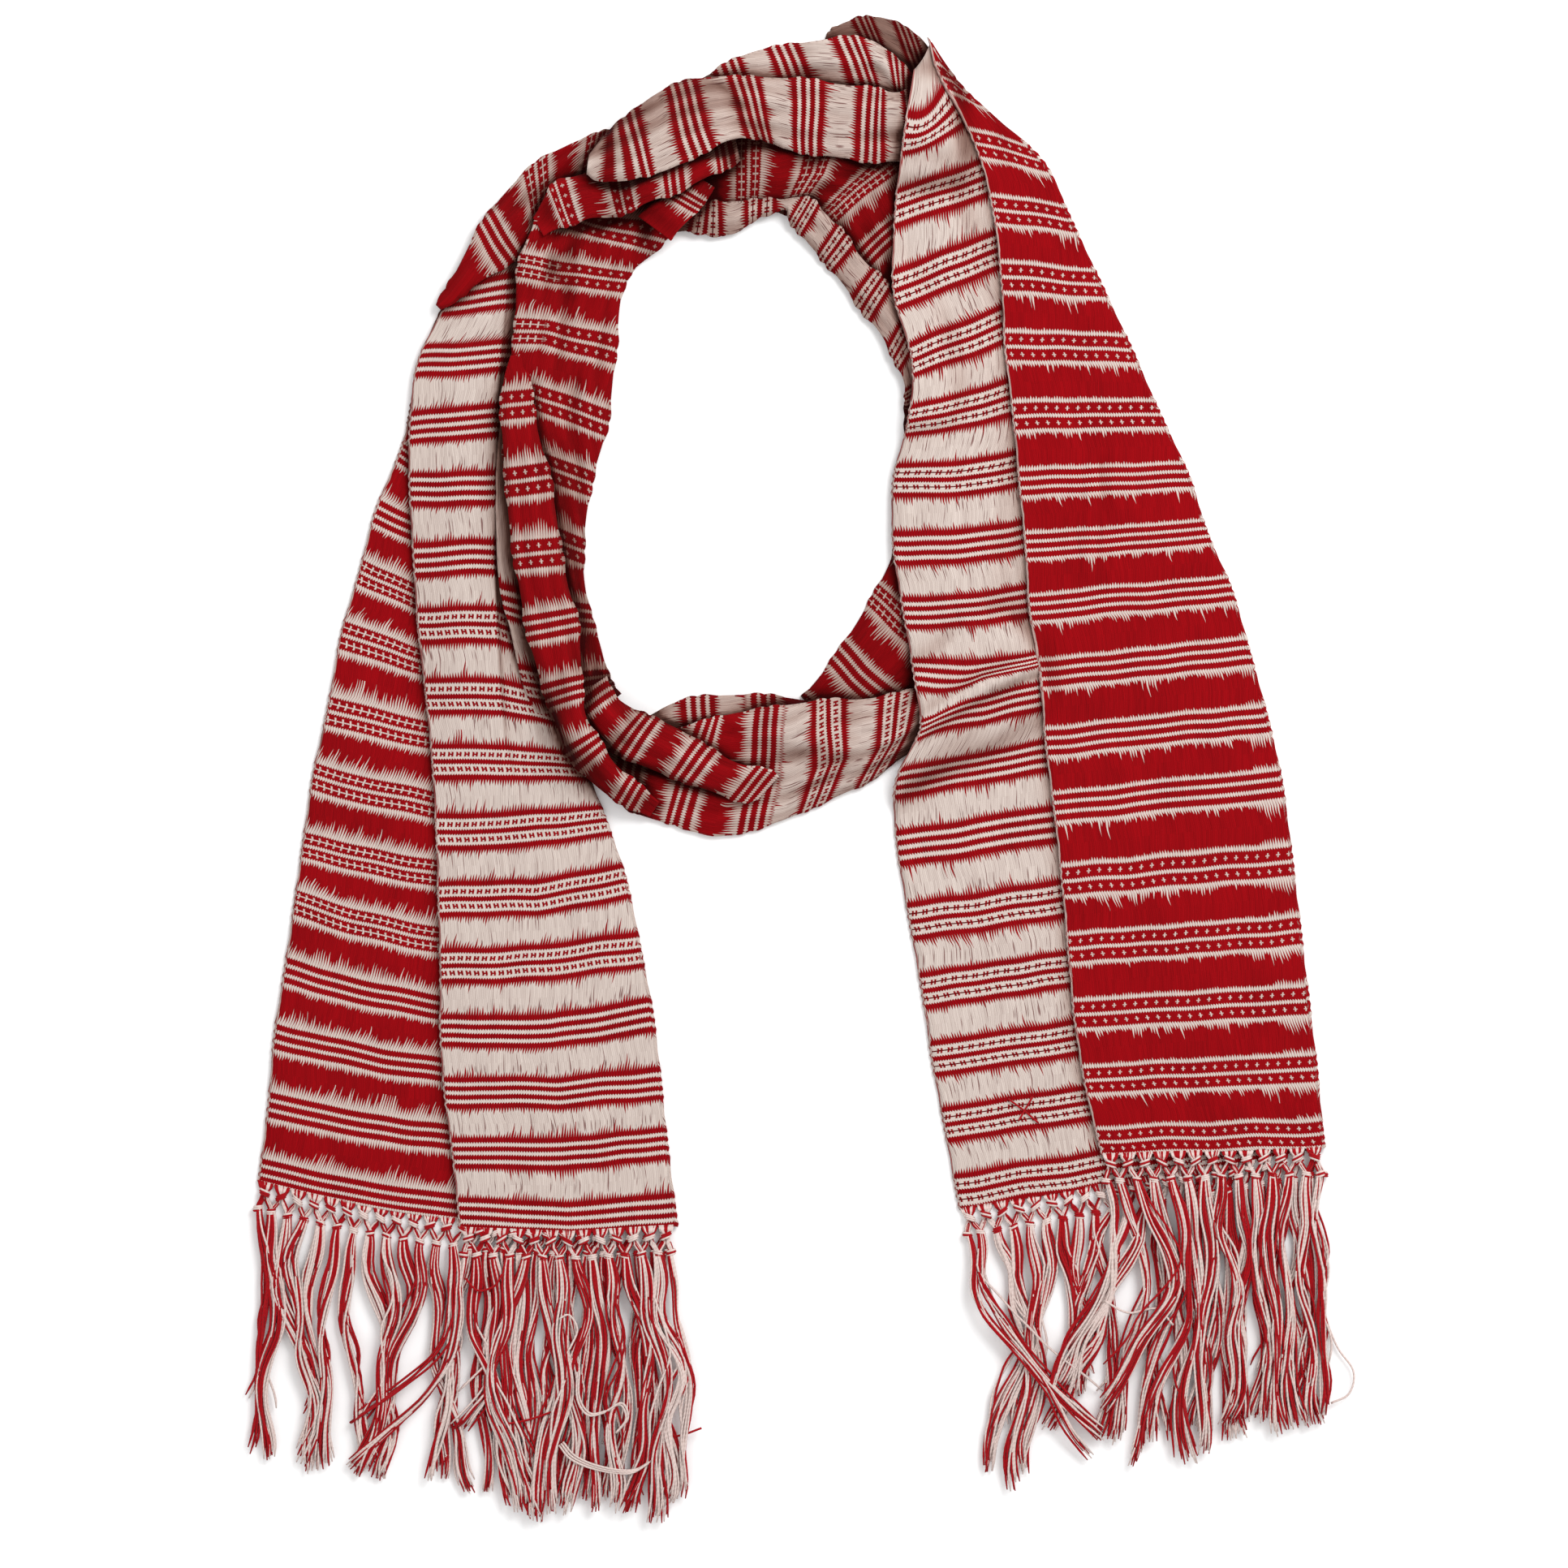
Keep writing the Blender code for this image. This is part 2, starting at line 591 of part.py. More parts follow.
def fringe_paths(knots, locks, seed):
    """Centre points and half widths of every lock, level by level below the second knots.

    The locks hang towards -Y. At each level they keep their order and stand LOCK_GAP or more apart.
    """
    rng = np.random.default_rng(seed)
    count = len(knots)
    sway = np.zeros((count, 4))
    length = np.zeros(count)
    for number in range(count):
        if number < len(locks):
            lock = locks[number]
        else:
            length_change = rng.uniform(-HIDDEN_LENGTH_SPREAD, HIDDEN_LENGTH_SPREAD)
            lock = Lock(*rng.uniform(-HIDDEN_SWAY, HIDDEN_SWAY, 3), HIDDEN_LENGTH + length_change)
        sway[number] = (0.0, lock.sway_high, lock.sway_low, lock.sway_tip)
        length[number] = lock.length
    levels = np.linspace(0.0, 1.0, LOCK_STEPS + 1)
    drop = levels[None, :] * length[:, None]
    offset = np.array([np.interp(levels, SWAY_PLACES, row) for row in sway])
    centre = knots[:, None, 0] + offset
    for _ in range(PARTING_PASSES):
        near = np.maximum(LEAST_LOCK_PITCH - np.diff(centre, axis=0), 0.0)
        near[:, 0] = 0.0
        centre[:-1] -= near / 2
        centre[1:] += near / 2
    room = np.diff(centre, axis=0)
    outer_room = np.full((1, LOCK_STEPS + 1), END_ROOM)
    nearest = np.minimum(np.vstack([outer_room, room]), np.vstack([room, outer_room]))
    half = np.clip((nearest - LOCK_GAP) / 2, LEAST_LOCK_WIDTH / 2, LOCK_WIDTH / 2)
    height = knots[:, None, 1] - drop
    return centre, height, half


def make_fringe(name, hem, lift, locks, seed, material):
    """Build one layer of knotted fringe: a cord, legs to a second row of knots, and hanging locks.

    The layer lies flat from lift upwards. hem is the line of points that it hangs from.
    """
    hem = np.asarray(hem, dtype=float)
    along = hem[-1] - hem[0]
    along /= np.linalg.norm(along)
    down = np.array([along[1], -along[0]])
    places = (hem - hem[0]) @ along
    width = places[-1]
    bundles = int(round(width / KNOT_PITCH))
    pitch = width / bundles
    body = bmesh.new()

    def hem_point(place):
        return np.array([np.interp(place, places, hem[:, 0]), np.interp(place, places, hem[:, 1])])

    def vertex(place, depth):
        spot = hem_point(place) + down * depth
        return body.verts.new(((spot[0] - MIDDLE_X) * MM, (spot[1] - MIDDLE_Y) * MM, lift * MM))

    cord_places = []
    for number in range(bundles):
        middle = (number + 0.5) * pitch
        cord_places += [middle - LEG_WIDTH, middle, middle + LEG_WIDTH]
    cord_top = [vertex(place, HEM_GAP) for place in cord_places]
    cord_low = [vertex(place, HEM_GAP + CORD_WIDTH) for place in cord_places]
    for number in range(len(cord_places) - 1):
        body.faces.new((cord_top[number], cord_top[number + 1], cord_low[number + 1], cord_low[number]))
    knot_depth = HEM_GAP + CORD_WIDTH + NET_DEPTH
    knot_tops = []
    knot_lows = []
    centres = []
    for number in range(bundles + 1):
        middle = min(max(number * pitch, 1.5 * LEG_WIDTH), width - 1.5 * LEG_WIDTH)
        knot_tops.append([vertex(middle + shift * LEG_WIDTH, knot_depth) for shift in (-1, 0, 1)])
        knot_lows.append([vertex(middle + shift * LEG_WIDTH, knot_depth + KNOT_DEPTH) for shift in (-1, 1)])
        centres.append(hem_point(middle) + down * (knot_depth + KNOT_DEPTH))
    for number in range(bundles):
        low = cord_low[3 * number:3 * number + 3]
        body.faces.new((low[0], low[1], knot_tops[number][2], knot_tops[number][1]))
        body.faces.new((low[1], low[2], knot_tops[number + 1][1], knot_tops[number + 1][0]))
    for top, low in zip(knot_tops, knot_lows):
        body.faces.new((top[0], top[1], top[2], low[1], low[0]))
    centre, height, half = fringe_paths(np.array(centres), locks, seed)
    for number in range(bundles + 1):
        left, right = knot_lows[number]
        for level in range(1, LOCK_STEPS + 1):
            sides = []
            for side in (-1, 1):
                spot_x = centre[number, level] + side * half[number, level]
                sides.append(body.verts.new(((spot_x - MIDDLE_X) * MM,
                                             (height[number, level] - MIDDLE_Y) * MM, lift * MM)))
            body.faces.new((left, right, sides[1], sides[0]))
            left, right = sides
    grown = bmesh.ops.extrude_face_region(body, geom=body.faces[:])
    for item in grown["geom"]:
        if isinstance(item, bmesh.types.BMVert):
            item.co.z += FRINGE_THICKNESS * MM
    bmesh.ops.recalc_face_normals(body, faces=body.faces)
    mesh = bpy.data.meshes.new(name)
    body.to_mesh(mesh)
    body.free()
    return add_object(name, mesh, material)


def build_scarf():
    """Lay the scarf from the table up."""
    red = dyed_cotton("red_cotton", (0.35, 0.005, 0.01))
    cream = dyed_cotton("cream_cotton", (0.68, 0.60, 0.53))
    dark_red = dyed_cotton("shaded_red_cotton", (0.18, 0.003, 0.005))
    mixed = dyed_cotton("red_and_cream_cotton", (0.5, 0.25, 0.23))
    laid = LaidCloth()
    left_back, left_front = make_tail("left_tail", LEFT_TAIL, laid, cream)
    make_band("neck_back", NECK_BACK, laid, dark_red, 2.5, NECK_BACK_FOLDS, 1, (5, 4))
    make_band("neck_crown", NECK_CROWN, laid, cream, 1.5, (), 1, (3, 3))
    make_band("loop_bottom", LOOP_BOTTOM, laid, red, 3.5, LOOP_BOTTOM_FOLDS, 1, (7, 7))
    make_band("left_turn", LEFT_TURN, laid, dark_red, 1.5, (), 1, (3, 3))
    make_band("loop_left", LOOP_LEFT, laid, red, 3.0, LOOP_LEFT_FOLDS, 2, (5, 5), 1.4)
    make_band("neck_roll", NECK_ROLL, laid, red, 3.5, (), 1, (4, 4))
    make_band("neck_front", NECK_FRONT, laid, cream, 3.0, NECK_FRONT_FOLDS, 1, (5, 7))
    right_back, right_front = make_tail("right_tail", RIGHT_TAIL, laid, red)
    front_lift = FOLD_SPREAD + 0.1
    make_fringe("fringe_left_back", left_back, FRINGE_LIFT, LEFT_BACK_LOCKS, 3, mixed)
    make_fringe("fringe_left_front", left_front, front_lift, LEFT_FRONT_LOCKS, 5, mixed)
    make_fringe("fringe_right_back", right_back, FRINGE_LIFT, RIGHT_BACK_LOCKS, 7, mixed)
    make_fringe("fringe_right_front", right_front, front_lift, RIGHT_FRONT_LOCKS, 9, mixed)


clear_scene()
build_scarf()
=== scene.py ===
"""The looks of a woven cotton scarf that lies flat in one neck loop with two folded tails.

The cloth is a double weave: its two faces show the same stripes with red and cream exchanged.
Every stretch of cloth is laid from the table up over what lies below it, in millimetres about
the middle of the plan, +X to the right and +Y towards the neck.
"""
import logging
import math
from dataclasses import dataclass, field
from enum import Enum
from functools import partialmethod
from typing import NamedTuple, Sequence

import bpy
import numpy as np
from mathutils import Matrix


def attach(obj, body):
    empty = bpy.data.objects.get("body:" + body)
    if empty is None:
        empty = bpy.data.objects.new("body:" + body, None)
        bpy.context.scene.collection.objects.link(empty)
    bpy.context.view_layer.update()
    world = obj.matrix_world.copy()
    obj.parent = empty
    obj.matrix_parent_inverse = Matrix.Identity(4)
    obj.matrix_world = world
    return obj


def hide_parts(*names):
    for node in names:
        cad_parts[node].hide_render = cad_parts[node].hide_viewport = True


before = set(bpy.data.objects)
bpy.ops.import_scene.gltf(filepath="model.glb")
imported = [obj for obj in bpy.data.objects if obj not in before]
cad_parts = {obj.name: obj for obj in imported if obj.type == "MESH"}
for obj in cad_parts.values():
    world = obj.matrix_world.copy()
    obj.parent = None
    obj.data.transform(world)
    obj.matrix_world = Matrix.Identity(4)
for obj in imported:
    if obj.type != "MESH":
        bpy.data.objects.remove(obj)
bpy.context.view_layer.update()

Array = np.ndarray
Material = bpy.types.Material
Piece = bpy.types.Object
Shader = bpy.types.ShaderNode
Socket = bpy.types.NodeSocket
Tree = bpy.types.NodeTree

log = logging.getLogger("scarf")

# A millimetre in metres. The others are in millimetres: the middle of the solids' box on the plan,
# the thickness of the cloth, the width of a round fold, the gap over cloth that lies below, the
# step between groups of stripes, and what is added to the places across a gathered band
MM = 0.001
MIDDLE_X = -3.84
MIDDLE_Y = -0.44
CLOTH = 1.2
FOLD_SPREAD = 2.4
LAYER_GAP = 0.4
STRIPE_PITCH = 33.0
FAR_ACROSS = 200.0

# The radius and the weight of each ring on which a point looks for higher cloth, for the painted shade in
# hollows
HOLLOW_RINGS = ((3.0, 0.4), (6.0, 0.35), (12.0, 0.25))


class Point(NamedTuple):
    """A point on the floor plan, in millimetres."""

    x: float
    y: float


class TailRow(NamedTuple):
    """One weft line across a folded tail, from the back selvedge round the fold to the front one."""

    back: Point
    under: Point
    fold: Point
    crease: Point
    edge: Point
    step: float


class BandRow(NamedTuple):
    """One weft line across a gathered band, and its place in stripe groups along the cloth."""

    outer: Point
    crease: Point
    inner: Point
    place: float


class Fold(NamedTuple):
    """A soft ridge, or a trough where its height is negative, along a curve of three points."""

    start: Point
    middle: Point
    end: Point
    width: float
    height: float


class Lock(NamedTuple):
    """How one bundle of fringe hangs: its sway at each quarter of its length, its length, and how
    far up the heap it lies."""

    first: float
    second: float
    third: float
    tip: float
    length: float
    rise: float = 0.0


class Stray(NamedTuple):
    """Loose yarns side by side: x and y of each point of their curve in turn, how high it lies,
    whether they are cream, and how many they are."""

    curve: Sequence[float]
    height: float
    cream: bool
    count: int = 1


class Stripe(Enum):
    """The number that the weave reads for each kind of stripe group: plain, lines and crosses."""

    P = 0.0
    L = 1.0
    X = 2.0


class Face(Enum):
    """Which face of the double weave looks up."""

    RED = 0.0
    CREAM = 1.0


def named_rows(kind: type, points: int, table: Sequence[Sequence[float]]) -> list:
    """Named rows of a kind from a table whose rows start with so many points."""
    return [kind(*(Point(*row[2 * number:2 * number + 2]) for number in range(points)),
                 *row[2 * points:]) for row in table]


def band_rows(table: Sequence[Sequence[float]]) -> list[BandRow]:
    """Named rows from outer, crease, inner and place; a crease that is left out runs midway."""
    return named_rows(BandRow, 3, [(*row[:2], *np.add(row[:2], row[2:4]) / 2, *row[2:])
                                   if len(row) == 5 else row for row in table])


# A row for each group of stripes, from the neck to the hem
RIGHT_TAIL = named_rows(TailRow, 5, [
    # back      under       fold        crease      edge       step
    (56, 342, 60, 347, 65, 357, 64, 358, 63, 359, 0.0),
    (51, 310, 74, 322, 82, 333, 75, 337, 69, 339, 0.0),
    (47, 275, 89, 290, 119, 300, 102, 304, 86, 307, 0.0),
    (46, 234, 98, 255, 134, 270, 114, 273, 95, 275, 0.0),
    (55, 200, 100, 218, 149, 238, 124, 240, 99, 242, 0.0),
    (53, 170, 103, 182, 164, 206, 132, 207, 101, 207, 0.0),
    (46, 142, 107, 147, 178, 174, 141, 174, 105, 173, 0.0),
    (46, 108, 111, 114, 192, 144, 148, 142, 108, 140, 0.6),
    (51, 76, 113, 82, 201, 116, 154, 112, 111, 109, 0.4),
    (56, 46, 118, 54, 213, 88, 161, 83, 113, 78, 0.0),
    (59, 18, 119, 34, 222, 57, 168, 51, 118, 46, 0.0),
    (47, -8, 122, 6, 231, 24, 174, 18, 121, 12, 0.0),
    (48, -40, 125, -28, 238, -8, 180, -14, 125, -20, 0.0),
    (54, -76, 129, -65, 243, -46, 186, -51, 129, -56, 0.0),
    (60, -110, 132, -99, 247, -80, 190, -85, 132, -89, 0.0),
    (65, -144, 136, -133, 251, -114, 193, -118, 135, -122, 0.0),
    (71, -176, 141, -165, 255, -148, 197, -151, 140, -154, 0.0),
    (77, -209, 147, -198, 258, -180, 202, -182, 147, -184, 0.0),
    (79, -218, 149, -206, 259, -187, 204, -189, 149, -191, 0.0),
])
LEFT_TAIL = named_rows(TailRow, 5, [
    (-158, 259, -157, 260, -127, 266, -143, 264, -159, 258, 0.5),
    (-174.5, 230, -169, 231, -128, 236, -144, 234, -173, 230, 1.2),
    (-188, 200, -182, 200, -128, 202, -147, 203, -188, 200, 2.2),
    (-192.5, 174, -182, 172, -127, 168, -149, 171, -192, 167, 2.6),
    (-197, 156, -191, 152, -125, 132, -148, 138, -192, 137, 2.6),
    (-209, 127, -191, 118, -122, 94, -150, 104, -190, 102, 2.6),
    (-217, 97, -188, 84, -118, 58, -149, 71, -188, 70, 2.6),
    (-226, 66, -185, 52, -113, 26, -147, 35, -184, 35, 2.2),
    (-233, 28, -182, 16, -105, 0, -143, 3, -181, 3, 1.2),
    (-240, -4, -179, -18, -95, -26, -134, -30, -179, -32, 0.4),
    (-245, -38, -178, -52, -85, -56, -130, -64, -178, -65, 0.0),
    (-249, -66, -177, -85, -78, -90, -126, -96, -177, -98, 0.0),
    (-254, -100, -177, -118, -72, -122, -122, -130, -177, -130, 0.0),
    (-259, -132, -175, -149, -68, -156, -118, -160, -175, -160, 0.0),
    (-262, -166, -172, -182, -65, -185, -116, -190, -171, -190, 0.0),
    (-266, -198, -169, -216, -61, -218, -114, -222, -168, -219, 0.0),
    (-267, -204, -167, -223, -60, -226, -112, -229, -167, -227, 0.0),
])

# A row for each weft line measured along a gathered band
LEFT_TURN = band_rows([
    # outer     crease      inner      place
    (-178, 227, -177.5, 226.5, -177, 226, -0.25),
    (-173, 235, -170.5, 233, -168, 231.5, 0.0),
    (-167, 246, -163.5, 242, -159.5, 238, 0.4),
    (-159, 262, -154, 253, -149, 245, 0.8),
    (-154, 270, -148, 260, -141, 250, 1.05),
    (-144, 283, -138, 271, -132, 258, 1.5),
    (-130, 297, -128, 281, -127, 264, 2.0),
    (-114, 306, -114, 292, -115, 278, 2.5),
    (-99, 312, -101, 302, -104, 290, 3.0),
    (-88, 315, -87, 304, -88, 294, 3.6),
    (-79, 318, -77, 307, -75, 297, 4.0),
    (-66, 320, -64, 311, -62, 302, 4.5),
])
LEFT_TUCK = band_rows([
    # outer       inner       place
    (-145.5, 176, -141, 176, -0.7),
    (-147.5, 154.5, -138, 154.5, -0.3),
    (-148, 122.5, -136, 120.5, 0.2),
    (-147.5, 98.5, -132, 95, 0.6),
    (-145, 81.5, -129, 76, 1.0),
    (-141.5, 68.5, -124, 62.5, 1.4),
    (-138, 52.5, -116, 47.5, 1.7),
    (-134, 38, -110, 33, 2.1),
    (-129, 27, -106, 22, 2.45),
])
NECK_CROWN = band_rows([
    (13.5, 358.5, 16.5, 356, -0.3),
    (18, 364, 23, 355, 0.2),
    (25.5, 367.5, 32.5, 353.5, 0.7),
    (32, 369, 40.5, 348, 1.0),
    (40.5, 369, 52.5, 340, 1.5),
    (49.5, 366, 63, 331, 1.9),
    (56.5, 361.5, 68.5, 329, 2.2),
    (62, 357, 72.5, 330.5, 2.5),
    (76, 338, 87, 300, 2.9),
])
NECK_BACK = band_rows([
    (-54, 296.5, -58, 276.5, -57.5, 269.5, 0.2),
    (-42, 308.5, -42, 288.5, -42, 271, 0.5),
    (-24, 312.5, -24.5, 290.5, -25, 273.5, 1.0),
    (-7.5, 312.5, -10.5, 290.5, -14, 274.5, 1.5),
    (11, 310.5, 7.5, 292.5, -4, 273.5, 2.0),
    (30, 308, 20, 291, 2.5, 272, 2.5),
    (53.5, 304, 32.5, 288, 10, 268, 3.0),
    (60, 289.5, 39, 275, 20, 258.5, 3.5),
    (64.5, 277.5, 46, 264.5, 29.5, 248, 4.0),
    (70, 263, 52.5, 250.5, 38, 237, 4.5),
    (76, 248, 58, 237.5, 45, 223, 5.0),
    (84, 214, 62, 212, 50, 204, 5.7),
    (86, 186, 66, 188, 53, 190, 6.5),
    (88, 150, 68, 152, 53, 154, 7.5),
    (88, 110, 66, 116, 51, 122, 8.5),
    (82, 74, 58, 90, 45, 100, 9.4),
    (66, 42, 42, 62, 31, 74, 10.4),
    (40, 26, 24, 40, 15, 50, 11.2),
    (18, 16, 9, 26, 2, 34, 11.9),
])
NECK_HEM = band_rows([
    (-58.5, 275, -62.5, 264, 0.4),
    (-51.5, 276, -54, 265, 0.75),
    (-44.5, 277, -46, 264, 1.0),
    (-37, 277.5, -36, 263, 1.3),
    (-30, 278, -29, 265, 1.6),
    (-22, 278, -22, 271, 1.9),
    (-14, 278.5, -14, 274, 2.15),
    (-7, 279, -6.5, 275, 2.4),
    (0, 280, -5, 271, 2.7),
    (7, 277.5, 0, 265, 3.1),
    (13.5, 271, 6, 257.5, 3.5),
    (22, 261.5, 13.5, 249.5, 4.0),
    (31, 249.5, 22, 239, 4.5),
    (40.5, 240, 31, 226.5, 5.0),
    (48.5, 229, 40, 215, 5.5),
    (56, 217.5, 47, 202.5, 6.0),
    (62, 202.5, 52, 191, 6.5),
    (66, 182.5, 54, 178.5, 7.2),
])
LOOP_LEFT = band_rows([
    (-118, 282, -96, 284, -45, 293, 0.3),
    (-127, 271, -112, 270, -67, 259, 1.0),
    (-137, 247, -118, 243, -86, 240, 2.0),
    (-139, 214, -125, 214, -91, 206, 3.0),
    (-144, 182, -130, 182, -95, 170, 4.0),
    (-144, 150, -123, 148, -103, 140, 5.0),
    (-139, 116, -116, 110, -107, 107, 6.0),
    (-136, 94, -112, 84, -105, 83, 6.75),
    (-132, 74, -110, 62, -99, 62, 7.4),
    (-124, 45, -107, 40, -94, 44, 8.0),
    (-114, 22, -103, 22, -88, 36, 8.6),
])
LOOP_FLAP = band_rows([
    (-141, 202.5, -137.5, 203, 3.3),
    (-144, 192, -133, 193, 3.6),
    (-145.5, 177, -131.5, 179, 4.0),
    (-144.5, 159, -128, 161, 4.5),
    (-143, 140, -123, 143, 5.0),
    (-141.5, 121.5, -120, 124, 5.5),
    (-139, 103, -117.5, 106.5, 6.0),
    (-136, 86, -114, 88.5, 6.5),
    (-133, 68, -109.5, 72.5, 7.0),
    (-128.5, 51.5, -108, 55.5, 7.5),
    (-123.5, 34.5, -107, 39.5, 8.0),
    (-118, 20.5, -105, 25, 8.5),
    (-111, 4, -98.5, 13.5, 9.0),
    (-98.5, -9, -90.5, 1, 9.5),
    (-86, -17.5, -80, -8, 10.0),
    (-73, -23.5, -69, -17.5, 10.5),
])
BOTTOM_REAR = band_rows([
    (-78, 16.5, -74, 25, 0.3),
    (-61, 16.5, -62, 31, 0.65),
    (-49, 16.5, -50, 34, 1.0),
    (-33, 18.5, -34, 35, 1.5),
    (-16.5, 20.5, -17, 35, 2.0),
    (0, 20.5, -1, 33, 2.5),
    (12, 20.5, 9.5, 31, 2.9),
])
LOOP_BOTTOM = band_rows([
    (-104, -3.5, -100, 8.5, -94.5, 26.5, 0.5),
    (-94.5, -9, -90, 4.5, -86, 20.5, 0.8),
    (-84, -19.5, -81, -1.5, -76, 16.5, 1.1),
    (-72, -24.5, -68, -5.5, -61, 18.5, 1.55),
    (-61, -27, -54, -5.5, -44.5, 23, 2.0),
    (-42.5, -33, -36.5, -9.5, -32, 26, 2.5),
    (-24, -30, -18.5, -7.5, -16, 28.5, 3.0),
    (-9, -25.5, -4, -5.5, -2, 30.5, 3.45),
    (7.5, -18.5, 16, 2.5, 14, 32.5, 4.0),
    (22, -12, 30, 6.5, 31.5, 33, 4.5),
    (35, -6, 45.5, 12.5, 48.5, 36, 5.0),
    (55, 8, 60, 22.5, 66, 40.5, 5.5),
    (86, 22, 82, 38, 82, 50.5, 6.5),
    (111, 42, 102, 54, 92, 67, 7.4),
])
BOTTOM_ROLL = band_rows([
    (-109, 35, -96, 44, -0.1),
    (-105, 25, -91, 35, 0.2),
    (-98, 15, -83, 29, 0.6),
    (-88, 7, -74.5, 25, 1.0),
    (-72.5, 0, -60, 18.5, 1.5),
    (-58, -5.5, -46, 10, 2.0),
    (-42.5, -11, -31.5, 2, 2.5),
    (-28, -16, -17, -1.5, 3.0),
    (-19.5, -15, -10.5, -5, 3.25),
])
NECK_ROLL = band_rows([
    (-130, 269, -126, 262, 0.2),
    (-125.5, 278, -119.5, 265, 0.5),
    (-120, 286, -113, 267, 1.0),
    (-108, 290, -102.5, 270.5, 1.4),
    (-99, 292, -93, 271, 1.65),
    (-89.5, 292, -85, 273, 2.0),
    (-76, 294, -72.5, 278.5, 2.5),
    (-62.5, 299, -61, 282, 3.0),
    (-49, 306, -46.5, 289.5, 3.5),
    (-38.5, 311, -36, 294.5, 4.0),
    (-32, 313, -29, 300, 4.25),
])
ROLL_FOLD = band_rows([
    (-78, 270, -64, 259.5, 0.1),
    (-72.5, 275.7, -59, 265, 0.4),
    (-64.5, 280.4, -51, 273, 0.87),
    (-55, 287, -44.5, 281, 1.37),
    (-50.5, 291, -42, 285.5, 1.65),
])
NECK_REAR = band_rows([
    (-50.5, 337.5, -46.5, 329.5, 1.4),
    (-42, 342, -36.5, 330.5, 1.75),
    (-35, 346.5, -28, 331, 2.0),
    (-22.5, 352, -14.5, 331, 2.5),
    (-8, 355, 2, 330.5, 3.0),
    (8, 357, 18.5, 329, 3.5),
    (25, 359, 37.5, 327, 4.0),
    (37.5, 356.5, 45.5, 326, 4.5),
    (49.5, 347, 51, 325, 5.0),
    (58, 338, 56, 324.5, 5.4),
])
NECK_FRONT = band_rows([
    (-103, 300, -104, 291.5, 0.4),
    (-95, 310.5, -97.5, 288, 0.7),
    (-85, 318.5, -78, 290, 1.0),
    (-72, 329, -65, 293, 1.5),
    (-58.5, 336, -48.5, 301, 2.0),
    (-42.5, 339, -34, 308, 2.5),
    (-27, 339, -19, 310, 3.0),
    (-11.5, 338.5, -8, 305.5, 3.5),
    (4.5, 337.5, 4, 303, 4.0),
    (20.5, 335, 19, 301, 4.5),
    (37, 333, 34.5, 299, 5.0),
    (46, 331, 48, 299, 5.5),
    (55, 331, 60, 299.5, 6.0),
    (63.5, 325.5, 70, 301.5, 6.5),
])

# A row for each large fold: its curve, its half width and its height
LOOP_BOTTOM_FOLDS = named_rows(Fold, 3, [
    # start     middle      end        width height
    (-98, 8, -82, 4, -64, 2, 7.0, -4.0),
    (-56, 20, -42, 18, -28, 14, 6.0, -3.0),
    (-20, -2, 0, 0, 42, 10, 15.0, 2.5),
    (-8, -14, 4, -10, 22, -2, 3.0, -1.2),
])
LOOP_LEFT_FOLDS = named_rows(Fold, 3, [
    (-130, 250, -134, 225, -132, 200, 8.0, 3.0),
    (-126, 258, -120, 245, -112, 232, 4.0, -1.5),
    (-130, 264, -110, 270, -92, 272, 6.0, -6.0),
    (-108, 225, -104, 185, -100, 150, 7.0, 1.5),
    (-120, 110, -112, 80, -106, 50, 3.0, -2.0),
])
NECK_FRONT_FOLDS = named_rows(Fold, 3, [
    (-90, 304, -50, 318, -20, 325, 11.0, 1.2),
    (-20, 325, 20, 320, 60, 316, 10.0, 3.2),
])
NECK_REAR_FOLDS = named_rows(Fold, 3, [
    (30, 356, 44, 344, 50, 334, 4.0, 1.5),
    (36, 345, 44, 338, 50, 330, 2.5, -1.5),
])
NECK_ROLL_FOLDS = named_rows(Fold, 3, [
    (-126, 270, -96, 280, -56, 292, 7.0, 1.2),
])
NECK_BACK_FOLDS = named_rows(Fold, 3, [
    (-4, 278, 8, 292, 22, 304, 4.0, 2.0),
    (0, 276, 16, 287, 36, 298, 4.0, -2.5),
    (10, 268, 30, 283, 52, 296, 4.0, 1.5),
    (24, 256, 44, 270, 60, 282, 5.0, -1.5),
])
RIGHT_BACK_FOLDS = named_rows(Fold, 3, [
    (118, 52, 90, 43, 55, 16, 4.5, 3.6),
    (120, 43, 92, 33, 58, 6, 4.0, -2.4),
    (70, 300, 72, 262, 70, 232, 14.0, 1.2),
])
RIGHT_FRONT_FOLDS = named_rows(Fold, 3, [
    (144, 150, 145, 120, 143, 96, 3.0, 1.4),
    (150, 150, 151, 120, 150, 92, 4.0, -0.9),
    (196, 40, 205, 0, 212, -60, 16.0, 0.8),
])
LEFT_FRONT_FOLDS = named_rows(Fold, 3, [
    (-166, 190, -168, 120, -164, 40, 9.0, 1.2),
    (-146, 150, -147, 60, -138, -10, 5.0, 0.8),
    (-160, -60, -150, -110, -150, -150, 10.0, 0.7),
])

